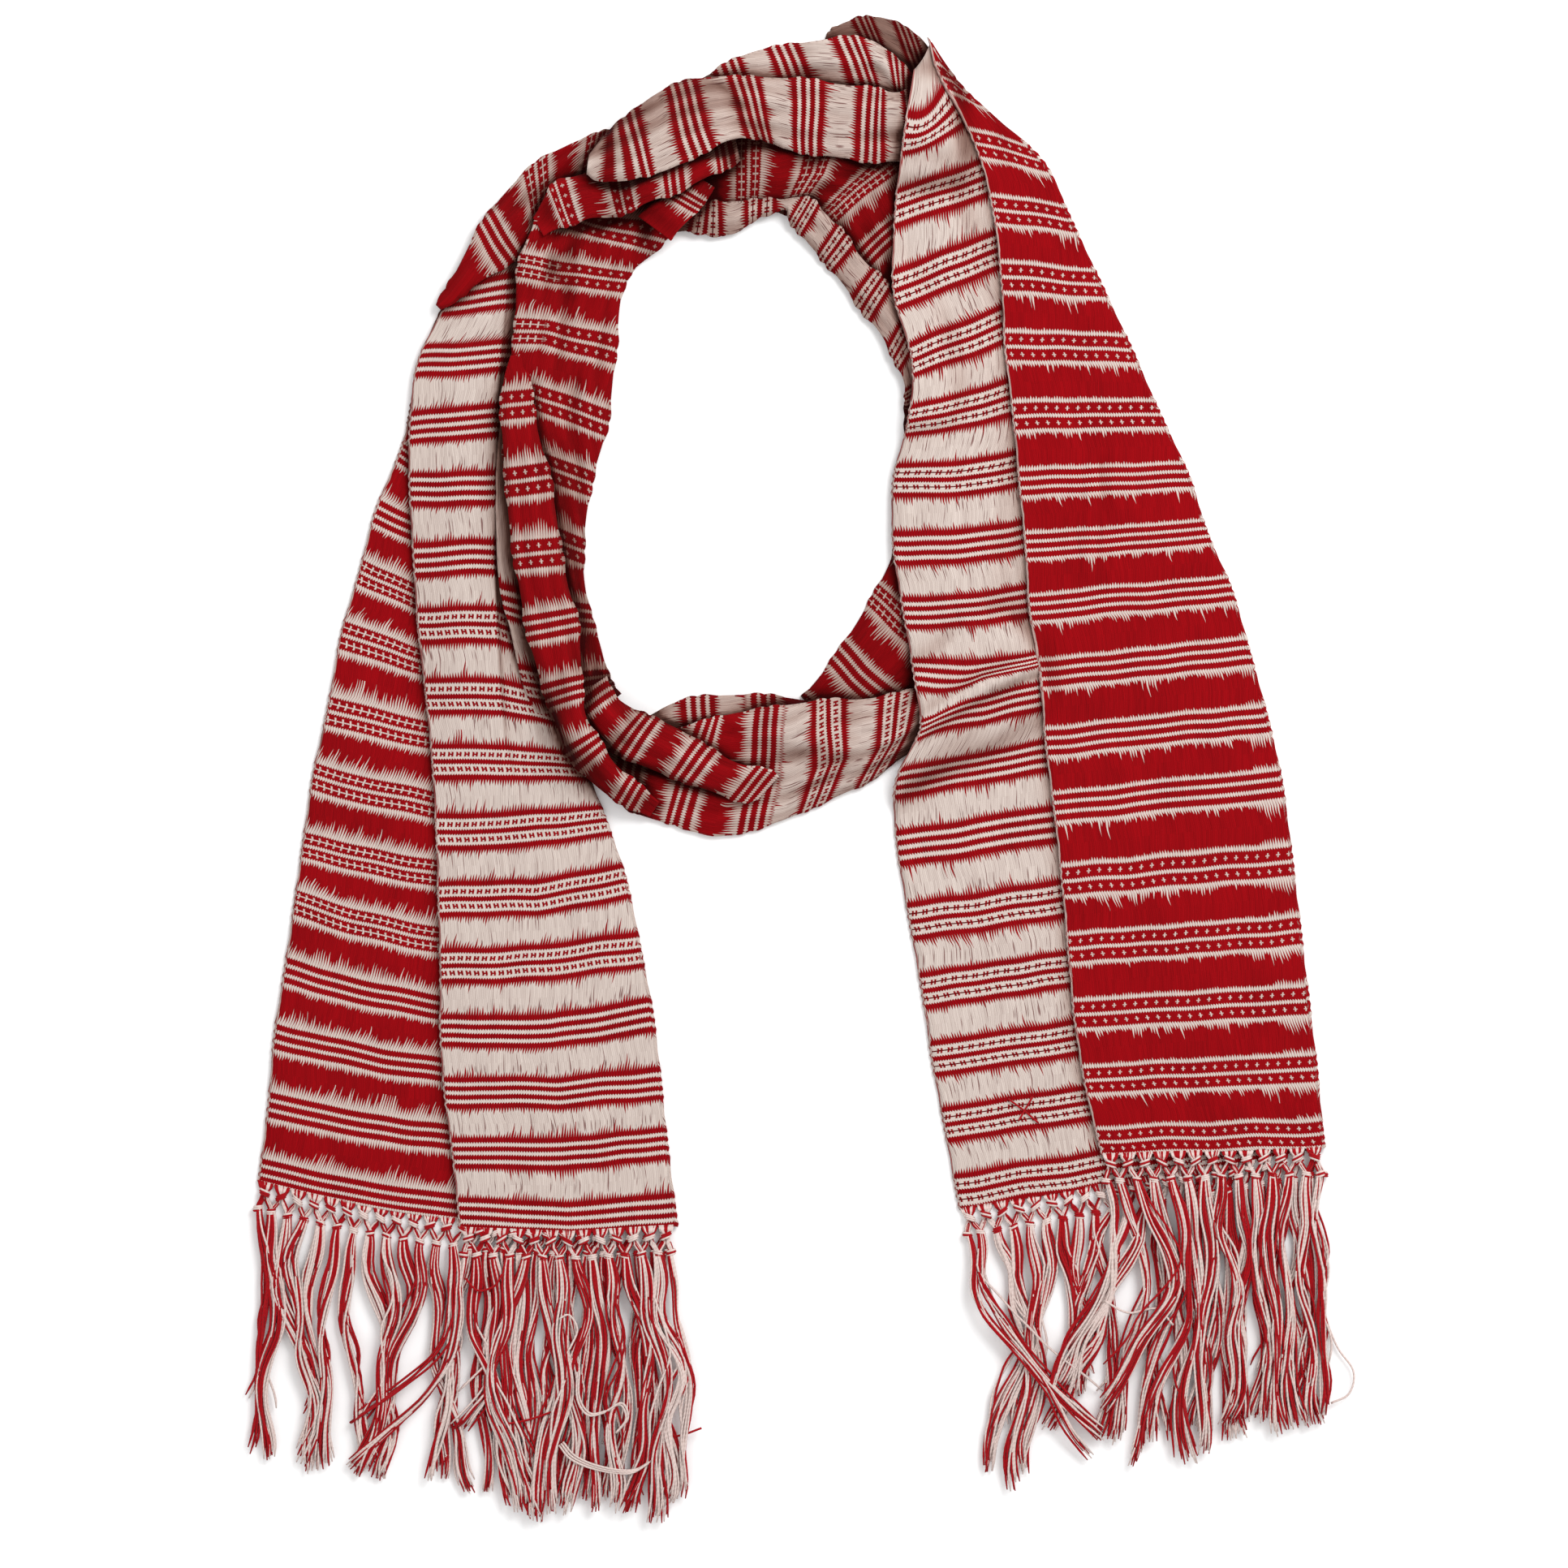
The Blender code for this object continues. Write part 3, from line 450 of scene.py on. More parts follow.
# A row for each bundle from the left: its sway at each quarter, its length and its rise
LEFT_BACK_LOCKS = named_rows(Lock, 0, [
    (1, 2, 1, -3, 119), (2, 1, -3, -3, 120), (-4, 5, 12, 11, 120), (-7, -1, 5, 2, 118, 1),
    (-4, -4, -2, -2, 121), (-4, -7, -6, -4, 118, 1), (-4, -2, 3, 9, 116), (2, 10, 10, 6, 118),
    (2, 1, -5, -12, 117, 1), (3, -2, -9, -10, 117), (-2, -11, -18, -30, 112, 1), (-1, 2, 8, 18, 122),
    (3, -3, -19, -49, 108, 2), (-6, -9, -11, -15, 112),
])
LEFT_FRONT_LOCKS = named_rows(Lock, 0, [
    (-4, -8, -8, -14, 111), (-2, 1, 4, -7, 85), (2, -1, 4, 8, 121), (-3, -8, -2, 6, 124, 1),
    (-8, -12, -4, 2, 127), (4, 6, 2, -4, 128), (3, 1, -1, -5, 125, 1), (4, -1, -1, -2, 124),
    (5, 3, 3, 0, 123), (5, 4, 3, 2, 124, 1), (7, 13, 8, 4, 125), (6, 11, 9, 5, 130, 1),
    (3, 10, 6, 2, 122, 1), (4, 6, 6, 4, 119),
])
RIGHT_BACK_LOCKS = named_rows(Lock, 0, [
    (4, 20, 44, 62, 111, 2), (3, 13, 36, 57, 101, 2), (6, 12, 16, 12, 100), (5, 5, -3, -14, 119),
    (2, 0, -6, -9, 129, 1), (0, -2, -8, -11, 123), (2, 6, 4, -5, 103), (-2, 2, 4, -1, 88),
    (2, 8, 10, -1, 109), (-9, -16, -16, -12, 80), (-5, -12, -22, -34, 90, 2), (-7, -15, -25, -37, 88, 2),
])
RIGHT_FRONT_LOCKS = named_rows(Lock, 0, [
    (6, -3, -15, -29, 107, 1), (10, 11, 3, -4, 128), (11, 17, 0, -18, 112, 2), (8, 6, -2, -12, 140),
    (7, 9, -4, -11, 130, 1), (6, 3, -2, 1, 138), (2, 1, -2, -1, 134), (1, 7, 8, 2, 120, 1),
    (4, 1, -1, -1, 119), (1, 3, 6, 6, 120), (-1, 0, 2, 4, 126, 1), (-3, -2, 0, 4, 123),
    (-3, 0, 1, 4, 122),
])

# A row for each level of the net between the hem and the locks: its depth below the hem, the share
# of the way from the bundle's knot to the lock's, half the bundle's width and how full it is
NET = (
    (-1.0, 0.0, 3.9, 0.2), (1.6, 0.0, 2.9, 0.7), (3.2, 0.0, 1.5, 1.0),
    (5.2, 0.05, 1.1, 1.0), (8.0, 0.45, 1.2, 0.8), (11.0, 0.9, 1.1, 1.0),
)
# Half a lock's width at parts of its length
LOCK_PARTS = (0.0, 0.1, 0.35, 0.8, 1.0)
LOCK_WIDTHS = (1.6, 2.9, 3.7, 3.4, 4.3)

# A row for each loose yarn: its curve, its height, its colour and how many lie side by side
LEFT_STRAYS = [
    Stray((-109, -297, -109, -310, -104, -318, -96, -317, -88, -313, -85, -320, -90, -327), 6.5, True, 2),
    Stray((-118, -333, -112, -340, -100, -345, -84, -347, -74, -342), 5.5, True, 3),
    Stray((-146, -323, -134, -321, -122, -317), 4.0, False),
    Stray((-72, -329, -60, -329, -48, -325), 2.0, False),
    Stray((-118, -271, -113, -269, -109, -276, -112, -284, -115, -289), 6.0, True),
    Stray((-164, -251, -158, -257, -150, -255, -146, -249), 5.5, False),
]
RIGHT_STRAYS = [
    Stray((256, -222, 258, -246, 259, -268, 265, -285, 273, -297, 271, -308, 262, -313), 0.0, True),
    Stray((150, -262, 162, -268, 176, -266, 184, -274), 5.5, True),
]
MENDING_KNOT = [
    Stray((103, -163, 111, -169, 118, -175), 0.7, False),
    Stray((108, -174, 111, -169, 115, -162), 1.3, False),
]


def smooth_rows(values: Array, per_row: int) -> Array:
    """Read a smooth curve through a table's rows: a cubic whose slope at each row is half the
    step from the row before it to the row after it.

    Args:
        values: one row of numbers for each row of the table.
        per_row: steps between each two rows.

    Returns:
        The numbers at every step.
    """
    values = np.asarray(values, dtype=float)
    count = len(values)
    place = np.linspace(0.0, count - 1.0, (count - 1) * per_row + 1)
    low = np.minimum(place.astype(int), count - 2)
    part = (place - low)[:, None]
    padded = np.vstack([2 * values[:1] - values[1:2], values, 2 * values[-1:] - values[-2:-1]])
    before, here, after, beyond = padded[low], padded[low + 1], padded[low + 2], padded[low + 3]
    slope_here = (after - before) / 2
    slope_after = (beyond - here) / 2
    return (here * (2 * part ** 3 - 3 * part ** 2 + 1) + slope_here * (part ** 3 - 2 * part ** 2 + part)
            + after * (3 * part ** 2 - 2 * part ** 3) + slope_after * (part ** 3 - part ** 2))


def clamp(values: Array) -> Array:
    """Values kept within 0 and 1."""
    return np.clip(values, 0.0, 1.0)


def unit(vectors: Array) -> Array:
    """Vectors brought to a length of 1."""
    return vectors / np.maximum(np.linalg.norm(vectors, axis=-1, keepdims=True), 1e-9)


def lerp(start: Array, end: Array, parts: Array) -> Array:
    """Points on the straight way from each start to each end, rows by shares of the way."""
    return start[:, None, :] + (end - start)[:, None, :] * np.asarray(parts)[None, :, None]


def fold_relief(x: Array, y: Array, table: Sequence[Fold]) -> Array:
    """Height of the folds at each point: a bell across each fold's curve, which fades at its ends.

    Args:
        x: grid of places in millimetres.
        y: grid of places in millimetres.
        table: the folds.

    Returns:
        Heights in millimetres.
    """
    height = np.zeros_like(x)
    steps = np.linspace(0.0, 1.0, 33)
    shares = ((1 - steps) ** 2, 2 * steps * (1 - steps), steps ** 2)
    for fold in table:
        curve_x = sum(share * point.x for share, point in zip(shares, fold[:3]))
        curve_y = sum(share * point.y for share, point in zip(shares, fold[:3]))
        away = np.hypot(x[..., None] - curve_x, y[..., None] - curve_y)
        fade = np.sin(math.pi * (0.15 + 0.7 * steps[away.argmin(axis=-1)]))
        height += fold.height * np.sqrt(fade) * np.exp(-(away.min(axis=-1) / fold.width) ** 2)
    return height


def corners(grid: Array) -> list[Array]:
    """Views of a grid's four corners, cell by cell."""
    return [grid[:-1, :-1], grid[1:, :-1], grid[:-1, 1:], grid[1:, 1:]]


@dataclass
class Table:
    """The table top and the heights of all the cloth laid on it so far, on a square raster."""

    raster: float = 1.0
    half_width: float = 300.0
    half_length: float = 400.0
    reach: int = 4
    softness: int = 6
    tops: Array = field(init=False)

    def __post_init__(self) -> None:
        """Start with a bare table."""
        rows, columns = (int(2 * half / self.raster) for half in (self.half_length, self.half_width))
        self.tops = np.zeros((rows, columns))

    def add(self, x: Array, y: Array, z: Array, fill: int = 5) -> None:
        """Mark a grid of points, filled in between its corners in straight lines.

        Args:
            x: grid of places.
            y: grid of places.
            z: grid of heights.
            fill: points along each side of a cell.
        """
        steps = np.linspace(0.0, 1.0, fill)
        along, across = np.meshgrid(steps, steps, indexing="ij")
        weights = [(1 - along) * (1 - across), along * (1 - across), (1 - along) * across, along * across]
        x, y, z = (sum(corner[..., None, None] * weight for corner, weight in zip(corners(grid), weights))
                   for grid in (x, y, z))
        column = np.round((x + self.half_width) / self.raster).astype(int)
        row = np.round((y + self.half_length) / self.raster).astype(int)
        np.maximum.at(self.tops, (row.ravel(), column.ravel()), z.ravel())

    def spread(self, reach: int) -> Array:
        """The highest top within reach squares of each square.

        Args:
            reach: how many squares away still counts.

        Returns:
            A raster of heights.
        """
        wide = self.tops
        for axis in (0, 1):
            wide = np.max([np.roll(wide, shift, axis) for shift in range(-reach, reach + 1)], axis=0)
        return wide

    def support(self) -> Array:
        """A soft surface that nowhere lies below the cloth laid so far: the spread tops, averaged.

        Returns:
            A raster of heights.
        """
        surface = self.spread(self.reach + self.softness)
        for axis in (0, 1):
            for half in (self.softness // 2, self.softness - self.softness // 2):
                shifts = range(-half, half + 1)
                surface = sum(np.roll(surface, shift, axis) for shift in shifts) / (2 * half + 1)
        return surface

    def read(self, surface: Array, x: Array, y: Array) -> Array:
        """A raster's value at each point, straight between the four squares round it.

        Args:
            surface: the raster.
            x: places.
            y: places.

        Returns:
            The values.
        """
        column = (np.asarray(x) + self.half_width) / self.raster
        row = (np.asarray(y) + self.half_length) / self.raster
        left, low = np.floor(column).astype(int), np.floor(row).astype(int)
        part_x, part_y = column - left, row - low
        lower = surface[low, left] * (1 - part_x) + surface[low, left + 1] * part_x
        upper = surface[low + 1, left] * (1 - part_x) + surface[low + 1, left + 1] * part_x
        return lower * (1 - part_y) + upper * part_y

    def lift(self, x: Array, y: Array) -> Array:
        """How high cloth laid at each point of a grid rests: 0 on the table, else a gap above.

        Args:
            x: grid of places.
            y: grid of places.

        Returns:
            Heights of the cloth's underside.
        """
        rest = self.read(self.support(), x, y)
        rest = rest + np.minimum(rest, LAYER_GAP)
        tops = self.read(self.spread(2), x, y)
        return np.where(tops > 0.01, np.maximum(rest, tops + LAYER_GAP), rest)

    def shut_in(self, x: Array, y: Array, z: Array) -> Array:
        """How far higher cloth shuts each point in.

        On three rings round the point, the tops' rise over it is divided by the ring's radius and
        kept within 0 and 1. The result is the rings' weighted mean over eight directions.

        Args:
            x: places.
            y: places.
            z: heights.

        Returns:
            Shares from 0, open, to 1.
        """
        shut = np.zeros_like(z)
        for radius, weight in HOLLOW_RINGS:
            for angle in np.arange(8) * math.pi / 4:
                tops = self.read(self.tops, x + radius * math.cos(angle), y + radius * math.sin(angle))
                shut += weight / 8 * clamp((tops - z - 0.5) / radius)
        return shut


class Term:
    """A value in a shader tree, which grows by ordinary arithmetic."""

    def __init__(self, tree: Tree, socket: Socket) -> None:
        """Hold a socket of a tree."""
        self.tree = tree
        self.socket = socket

    def math(self, operation: str, *others: "Term | float") -> "Term":
        """Add one Math node on this term and others."""
        inputs = dict(enumerate((self, *others)))
        return add_node(self.tree, "ShaderNodeMath", 0, inputs, operation=operation)

    # Each is one Math node: the sum, difference and product with another, the value without its
    # sign, the whole number below it and what is over, and the lower and higher of two
    __add__ = partialmethod(math, "ADD")
    __sub__ = partialmethod(math, "SUBTRACT")
    __mul__ = partialmethod(math, "MULTIPLY")
    size = partialmethod(math, "ABSOLUTE")
    floor = partialmethod(math, "FLOOR")
    part = partialmethod(math, "FRACT")
    low = partialmethod(math, "MINIMUM")
    high = partialmethod(math, "MAXIMUM")

    def __rsub__(self, other: float) -> "Term":
        """A number less this term."""
        return (self * -1.0) + other

    def ramp(self, start: "Term | float", end: "Term | float") -> "Term":
        """A soft step from 0 where this term is at start to 1 where it is at end."""
        inputs = {"Value": self, "From Min": start, "From Max": end}
        return add_node(self.tree, "ShaderNodeMapRange", "Result", inputs, interpolation_type="SMOOTHSTEP")

    def within(self, reach: "Term | float", soft: float) -> "Term":
        """1 where the term's size is under reach, with an edge as wide as soft."""
        return (self.size() - reach).ramp(soft / 2, -soft / 2)

    def towards(self, other: "Term | float", share: "Term") -> "Term":
        """The blend of this term and another by a share."""
        return self + (other - self) * share


def feed(socket: Socket, value: Term | float | tuple) -> None:
    """Give a shader input a term, or else a number or a colour.

    Args:
        socket: the input.
        value: what it gets.
    """
    if isinstance(value, Term):
        value.tree.links.new(value.socket, socket)
    else:
        socket.default_value = (*value, 1.0) if isinstance(value, tuple) else value


def add_node(tree: Tree, kind: str, output: str | int, inputs: dict, **settings: str) -> Term:
    """Add a node to a shader tree.

    Args:
        tree: the tree.
        kind: the node's type.
        output: the name or number of the output that is wanted.
        inputs: terms, numbers or colours by the names or numbers of the inputs that get them.
        settings: the node's own options.

    Returns:
        The output.
    """
    node = tree.nodes.new(kind)
    for name, value in settings.items():
        setattr(node, name, value)
    for name, value in inputs.items():
        feed(node.inputs[name], value)
    return Term(tree, node.outputs[output])


def vector(x: Term | float, y: Term, z: Term | float) -> Term:
    """Three values joined."""
    return add_node(y.tree, "ShaderNodeCombineXYZ", 0, {0: x, 1: y, 2: z})


def split(joined: Term) -> list[Term]:
    """The three values of a vector."""
    first = add_node(joined.tree, "ShaderNodeSeparateXYZ", 0, {0: joined})
    return [Term(joined.tree, socket) for socket in first.socket.node.outputs]


def noise(x: Term | float, y: Term, seed: float = 0.0, detail: float = 0.0) -> Term:
    """Smooth noise from 0 to 1 over two values, with features about 1 apart."""
    inputs = {"Scale": 1.0, "Detail": detail, "Vector": vector(x, y, seed)}
    return add_node(y.tree, "ShaderNodeTexNoise", "Fac", inputs)


def chance(x: Term, y: Term, seed: float) -> Term:
    """A random number from 0 to 1 for each pair of whole numbers, another for each seed."""
    inputs = {"Vector": vector(x, y, seed)}
    return add_node(y.tree, "ShaderNodeTexWhiteNoise", "Value", inputs, noise_dimensions="3D")


def blend_colours(share: Term, first: Term | tuple, second: Term | tuple) -> Term:
    """A blend of two colours by the share of the second."""
    return add_node(share.tree, "ShaderNodeMix", 2, {0: share, 6: first, 7: second}, data_type="RGBA")


def attribute(tree: Tree, name: str, output: str) -> Term:
    """A point attribute of the mesh: Vector for three numbers, Fac for one."""
    return add_node(tree, "ShaderNodeAttribute", output, {}, attribute_name=name)


def new_material(name: str, settings: dict[str, float | tuple]) -> tuple[Material, Shader]:
    """Start a material.

    Args:
        name: its name.
        settings: what the shader's own inputs are set to.

    Returns:
        The material and its shader.
    """
    made = bpy.data.materials.new(name)
    made.use_nodes = True
    shader = made.node_tree.nodes["Principled BSDF"]
    for key, value in settings.items():
        feed(shader.inputs[key], value)
    return made, shader


def add_relief(shader: Shader, height: Term, strength: float, depth: float) -> None:
    """Give a shader a fine relief, in parts of a depth in millimetres."""
    inputs = {"Strength": strength, "Distance": depth * MM, "Height": height}
    feed(shader.inputs["Normal"], add_node(height.tree, "ShaderNodeBump", "Normal", inputs))


@dataclass(frozen=True)
class CottonDye:
    """The two yarn colours in light; the same darker, for painted shade in the depth between yarns and for
    dark lines and tones; and where the yarns hang loose.
    """

    red: tuple[float, float, float] = (0.288, 0.0018, 0.0045)
    dark_and_shaded_red: tuple[float, float, float] = (0.1, 0.0007, 0.0018)
    cream: tuple[float, float, float] = (0.62, 0.53, 0.478)
    dark_and_shaded_cream: tuple[float, float, float] = (0.3, 0.22, 0.195)
    loose_red: tuple[float, float, float] = (0.35, 0.003, 0.007)
    loose_cream: tuple[float, float, float] = (0.69, 0.56, 0.52)
    roughness: float = 0.9
    sheen: float = 0.01


@dataclass(frozen=True)
class DoubleWeave:
    """The stripes and the relief of the cloth, as one shader group read from the cloth's own places.

    The cloth attribute holds the place across in millimetres, the place along in stripe groups
    and the kind of group. Sizes are in millimetres.
    """

    dye: CottonDye
    thread: float = 1.3
    line_pitch: float = 4.7
    cross_pitch: float = 5.2
    cross_band: float = 3.65
    group_half: float = 7.35
    wander: float = 2.2
    lean: float = 2.6
    soft: float = 0.25
    relief: tuple[float, float] = (0.55, 0.5)

    def group(self) -> Tree:
        """Build the shader group.

        Returns:
            The group, with inputs Cloth, Face, Linked and Shade and outputs Colour and Height.
        """
        tree = bpy.data.node_groups.new("double_weave", "ShaderNodeTree")
        for name, way, kind in (("Cloth", "INPUT", "Vector"), ("Face", "INPUT", "Float"),
                                ("Linked", "INPUT", "Float"), ("Shade", "INPUT", "Float"),
                                ("Colour", "OUTPUT", "Color"), ("Height", "OUTPUT", "Float")):
            tree.interface.new_socket(name, in_out=way, socket_type="NodeSocket" + kind)
        start = tree.nodes.new("NodeGroupInput")
        end = tree.nodes.new("NodeGroupOutput")
        cloth, face, linked, shade = (Term(tree, socket) for socket in start.outputs[:4])
        across, along, kind = split(cloth)
        soft = self.soft

        # Place within the nearest group, with the slight wander of a hand-beaten weft
        row = (along + 0.5).floor()
        wander = (noise(across * 0.045, row * 3.7) - 0.5) * self.wander
        place = (along - row) * STRIPE_PITCH + wander
        reach = place.size()
        striped = kind.ramp(0.4, 0.6)
        crossed = kind.ramp(1.4, 1.6)

        # One tooth for each pair of threads, leaning a little with the loose floats
        lean = (noise(across * 0.05, along * 2.2, 4.0) - 0.5) * self.lean
        thread = (across - place * 0.15 + lean * (reach - 7.0).high(0.0) * 0.2) * (1.0 / self.thread)
        number = thread.floor()
        tooth = 1.0 - (thread.part() * 2.0 - 1.0).size()
        draw = chance(number, row, 1.0)
        rare = chance(number, row, 7.0)
        drift = noise(across * 0.1, row * 5.1, 2.0).ramp(0.25, 0.75)
        red_face = 1.0 - face
        long_red = linked.high(across.ramp(FAR_ACROSS / 2 - 1.0, FAR_ACROSS / 2 + 1.0)) * red_face

        # How far each thread runs past the group's outer lines
        ahead = place.ramp(-0.1, 0.1).high(face * 0.6)
        short = draw * (long_red + 0.9) + (face * 0.6 + long_red * 0.8 + 1.1)
        flame = short + draw * (drift * 3.4 + long_red) + long_red * 1.2
        flame = flame + rare.ramp(0.8, 1.0) * (drift * 5.0 + 1.5)
        edge = short.towards(flame, ahead) * tooth + (crossed * 0.35 + face * 0.9 + self.group_half)
        outer = (reach - edge).ramp(soft, -soft)

        # Four thin lines, or three lines with a row of crosses in each of the two bands between
        line_place = ((place * (1.0 / self.line_pitch)).part() - 0.5) * self.line_pitch
        lines = line_place.within((tooth * 0.9 + 0.35).towards(tooth * -0.95 + 1.85, face), soft)
        middle = reach.within((tooth * 0.9 + 0.35).towards(tooth * -0.75 + 1.6, face), soft)
        rail = (reach - (tooth * -0.9 + 6.95).towards(tooth * 0.8 + 5.85, face)).ramp(-soft, soft)
        pitch = linked * red_face * -1.4 + face * (1.0 - linked) * -1.2 + self.cross_pitch
        step = across.math("DIVIDE", pitch) + row * 0.37
        cross_across = (step.part() - 0.5) * pitch
        cross_along = reach - self.cross_band
        stem = cross_across.within(linked * 0.12 + 0.34, soft)
        stem = stem * cross_along.within(linked * 0.5 + 1.1, soft)
        bars = (cross_across.size() - 0.85).within(0.5, soft) * cross_along.within(1.2, soft)
        arm = cross_across.within(1.0, soft) * cross_along.within(face * 0.12 + 0.27, 0.2)
        thin = cross_along.within(0.3, 0.2) * linked
        crosses = stem.towards(bars, face).high(arm * (face * 0.2 + 0.8))
        crosses = crosses.high(thin).high(middle).high(rail)
        inner = lines.towards(crosses, crossed)
        past = (reach - (crossed * 0.25 + 7.05)).ramp(-0.05, 0.05)
        mark = inner.towards(outer, past) * striped

        # Red shows in the grooves between the cream threads of a line
        show = mark * (tooth.ramp(0.0, 0.4).towards(1.0, face) * 0.5 + 0.5)

        # Loose floats of the ground between the groups, each its own tone, with painted shade between the
        # strands and a few dark slits
        bare = (reach - 8.5).ramp(-1.0, 4.0).towards(1.0, 1.0 - striped)
        float_across = (across + lean * 0.9) * (2.0 / self.thread)
        strand = (float_across.part() * 2.0 - 1.0).size()
        own = chance(float_across.floor(), row, 3.0)
        streak = noise(float_across * 0.75, along * 1.3, 6.0, 1.0)
        patch = noise(across * 0.06, along * 1.1, 9.0, 1.0)
        slit = noise(float_across * 0.9, along * 2.1, 8.0).ramp(0.69, 0.76) * bare
        # Painted shade in the gap between each two strands
        strand_gap_shade = strand.ramp(0.55, 1.0)

        # Each yarn's colour with painted shade in the depth between its strands, the other's where the
        # face changes
        # Painted shade between the strands and in the grooves between the teeth of a line, with each
        # thread's own tone, random streaks and patches, and the thin dark line of linked crosses
        deep = strand_gap_shade * 0.25 + own * 0.22 + (0.6 - streak).high(0.0) * 0.5 + (0.6 - patch).high(0.0) * 0.5
        deep = deep + (thin * crossed * 0.8).high(tooth.ramp(0.5, 0.1) * striped * 0.3) * face
        red = blend_colours(deep.low(1.0), self.dye.red, self.dye.dark_and_shaded_red)
        # Painted shade between the strands, deeper on the floats, and a little within and near the groups
        # where the floats dip, with each thread's own tone and random streaks
        pale = strand_gap_shade * (bare * 0.32 + 0.1) + own * (bare * 0.22) + (0.62 - streak).high(0.0) * 0.8
        pale = pale + (1.0 - bare) * 0.1
        cream = blend_colours(pale.low(1.0), self.dye.cream, self.dye.dark_and_shaded_cream)
        # The slits show the red beneath, darkened by painted shade
        cream = blend_colours(slit * 0.75, cream, self.dye.dark_and_shaded_red)
        rim = (across + noise(0.0, along * 9.0, 5.0) * 0.5).ramp(1.15, 0.95) * 0.75
        show = show.towards(1.0 - show, rim)
        colour = blend_colours(face.towards(red_face, show), red, cream)
        # Painted shade: the colour is multiplied by the shade attribute, green and blue the more, so that
        # shade turns a warm red
        warm_painted_shade = vector(shade, shade.math("POWER", 1.35), shade.math("POWER", 1.45))
        feed(end.inputs["Colour"], add_node(tree, "ShaderNodeVectorMath", 0, {0: colour, 1: warm_painted_shade},
                                            operation="MULTIPLY"))

        # Relief: round strands, beads along each line, and slits between the floats
        height = (1.0 - strand * strand) * 0.3 + own * 0.2 + mark * (tooth.ramp(0.0, 0.8) * 0.45 + 0.3)
        feed(end.inputs["Height"], height + bare * 0.3 - slit * 0.7)
        return tree

    def material(self, group: Tree) -> Material:
        """Dress the weave in matt cotton.

        Args:
            group: the shader group.

        Returns:
            The material that every stretch of cloth wears.
        """
        made, shader = new_material("red_and_cream_double_weave", {
            "Roughness": self.dye.roughness, "Sheen Weight": self.dye.sheen, "Sheen Roughness": 0.5,
            "Specular IOR Level": 0.05})
        tree = made.node_tree
        weave = tree.nodes.new("ShaderNodeGroup")
        weave.node_tree = group
        for name, output in (("Cloth", "Vector"), ("Face", "Fac"), ("Linked", "Fac"), ("Shade", "Fac")):
            feed(weave.inputs[name], attribute(tree, name.lower(), output))
        feed(shader.inputs["Base Color"], Term(tree, weave.outputs["Colour"]))
        add_relief(shader, Term(tree, weave.outputs["Height"]), *self.relief)
        return made


@dataclass(frozen=True)
class TwistedYarn:
    """A soft plied yarn in one colour, whose plies run round it on the slant."""

    name: str
    lit: tuple[float, float, float]
    # The yarn's colour darkened, for painted shade and dark tone
    deep: tuple[float, float, float]
    turn: float = 2.2
    darkest: float = 0.15
    relief: tuple[float, float] = (0.5, 0.25)

    def material(self) -> Material:
        """Build the yarn's material from its yarn attribute: place along in millimetres, turn, and tone
        with painted shade.

        Returns:
            The material.
        """
        made, shader = new_material(self.name, {"Roughness": 0.85, "Sheen Weight": 0.05,
                                                "Specular IOR Level": 0.1})
        along, turn, tone_and_shade = split(attribute(made.node_tree, "yarn", "Vector"))
        # Painted shade in the grooves between the plies, and the yarn's own tone with painted shade from
        # its attribute
        ply = ((along * (1.0 / self.turn) + turn).part() * 2.0 - 1.0).size()
        share = (ply.ramp(0.6, 1.0) * self.darkest + tone_and_shade * self.darkest).low(1.0)
        feed(shader.inputs["Base Color"], blend_colours(share, self.lit, self.deep))
        add_relief(shader, 1.0 - ply * ply, *self.relief)
        return made


def add_object(name: str, data: bpy.types.ID) -> Piece:
    """Put an object in the scene.

    Args:
        name: its name.
        data: its mesh, lamp or camera.

    Returns:
        The object.
    """
    made = bpy.data.objects.new(name, data)
    bpy.context.scene.collection.objects.link(made)
    return made


def add_piece(name: str, points: Array, faces: Array, materials: Sequence[Material],
              values: dict[str, Array]) -> Piece:
    """Put a finished mesh in the scene, in metres about the scarf's middle.

    Args:
        name: the piece's name.
        points: places in millimetres on the plan.
        faces: corner numbers, four for each face.
        materials: the materials it wears.
        values: point attributes by name, numbers or vectors.

    Returns:
        The object.
    """
    world = (points - np.array([MIDDLE_X, MIDDLE_Y, 0.0])) * MM
    mesh = bpy.data.meshes.new(name)
    mesh.from_pydata(world.tolist(), [], faces.tolist())
    for key, value in values.items():
        kind, field_name = ("FLOAT_VECTOR", "vector") if value.ndim == 2 else ("FLOAT", "value")
        attribute = mesh.attributes.new(key, kind, "POINT")
        attribute.data.foreach_set(field_name, value.astype(np.float32).ravel())
    mesh.shade_smooth()
    for material in materials:
        mesh.materials.append(material)
    made = add_object(name, mesh)
    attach(made, "root")
    return made


def loop_faces(rows: int, around: int) -> Array:
    """Faces of a closed tube of grid points with both ends filled in.

    The tube's faces join each row to the next all the way round. An end is filled by a strip
    that joins each point of the loop's first half to its partner in the second half.

    Args:
        rows: how many loops there are.
        around: how many points each loop has.

    Returns:
        Corner numbers, four for each face.
    """
    index = np.arange(rows * around).reshape(rows, around)
    after = np.roll(index, -1, axis=1)
    sides = np.stack([index[:-1], after[:-1], after[1:], index[1:]], axis=-1).reshape(-1, 4)
    half = around // 2
    there = np.arange(half - 1)
    partner = around - 1 - there
    ends = [np.stack([loop[there], loop[partner], loop[partner - 1], loop[there + 1]], axis=-1)
            for loop in (index[0], index[-1])]
    return np.concatenate([sides, ends[0], ends[1][:, ::-1]])


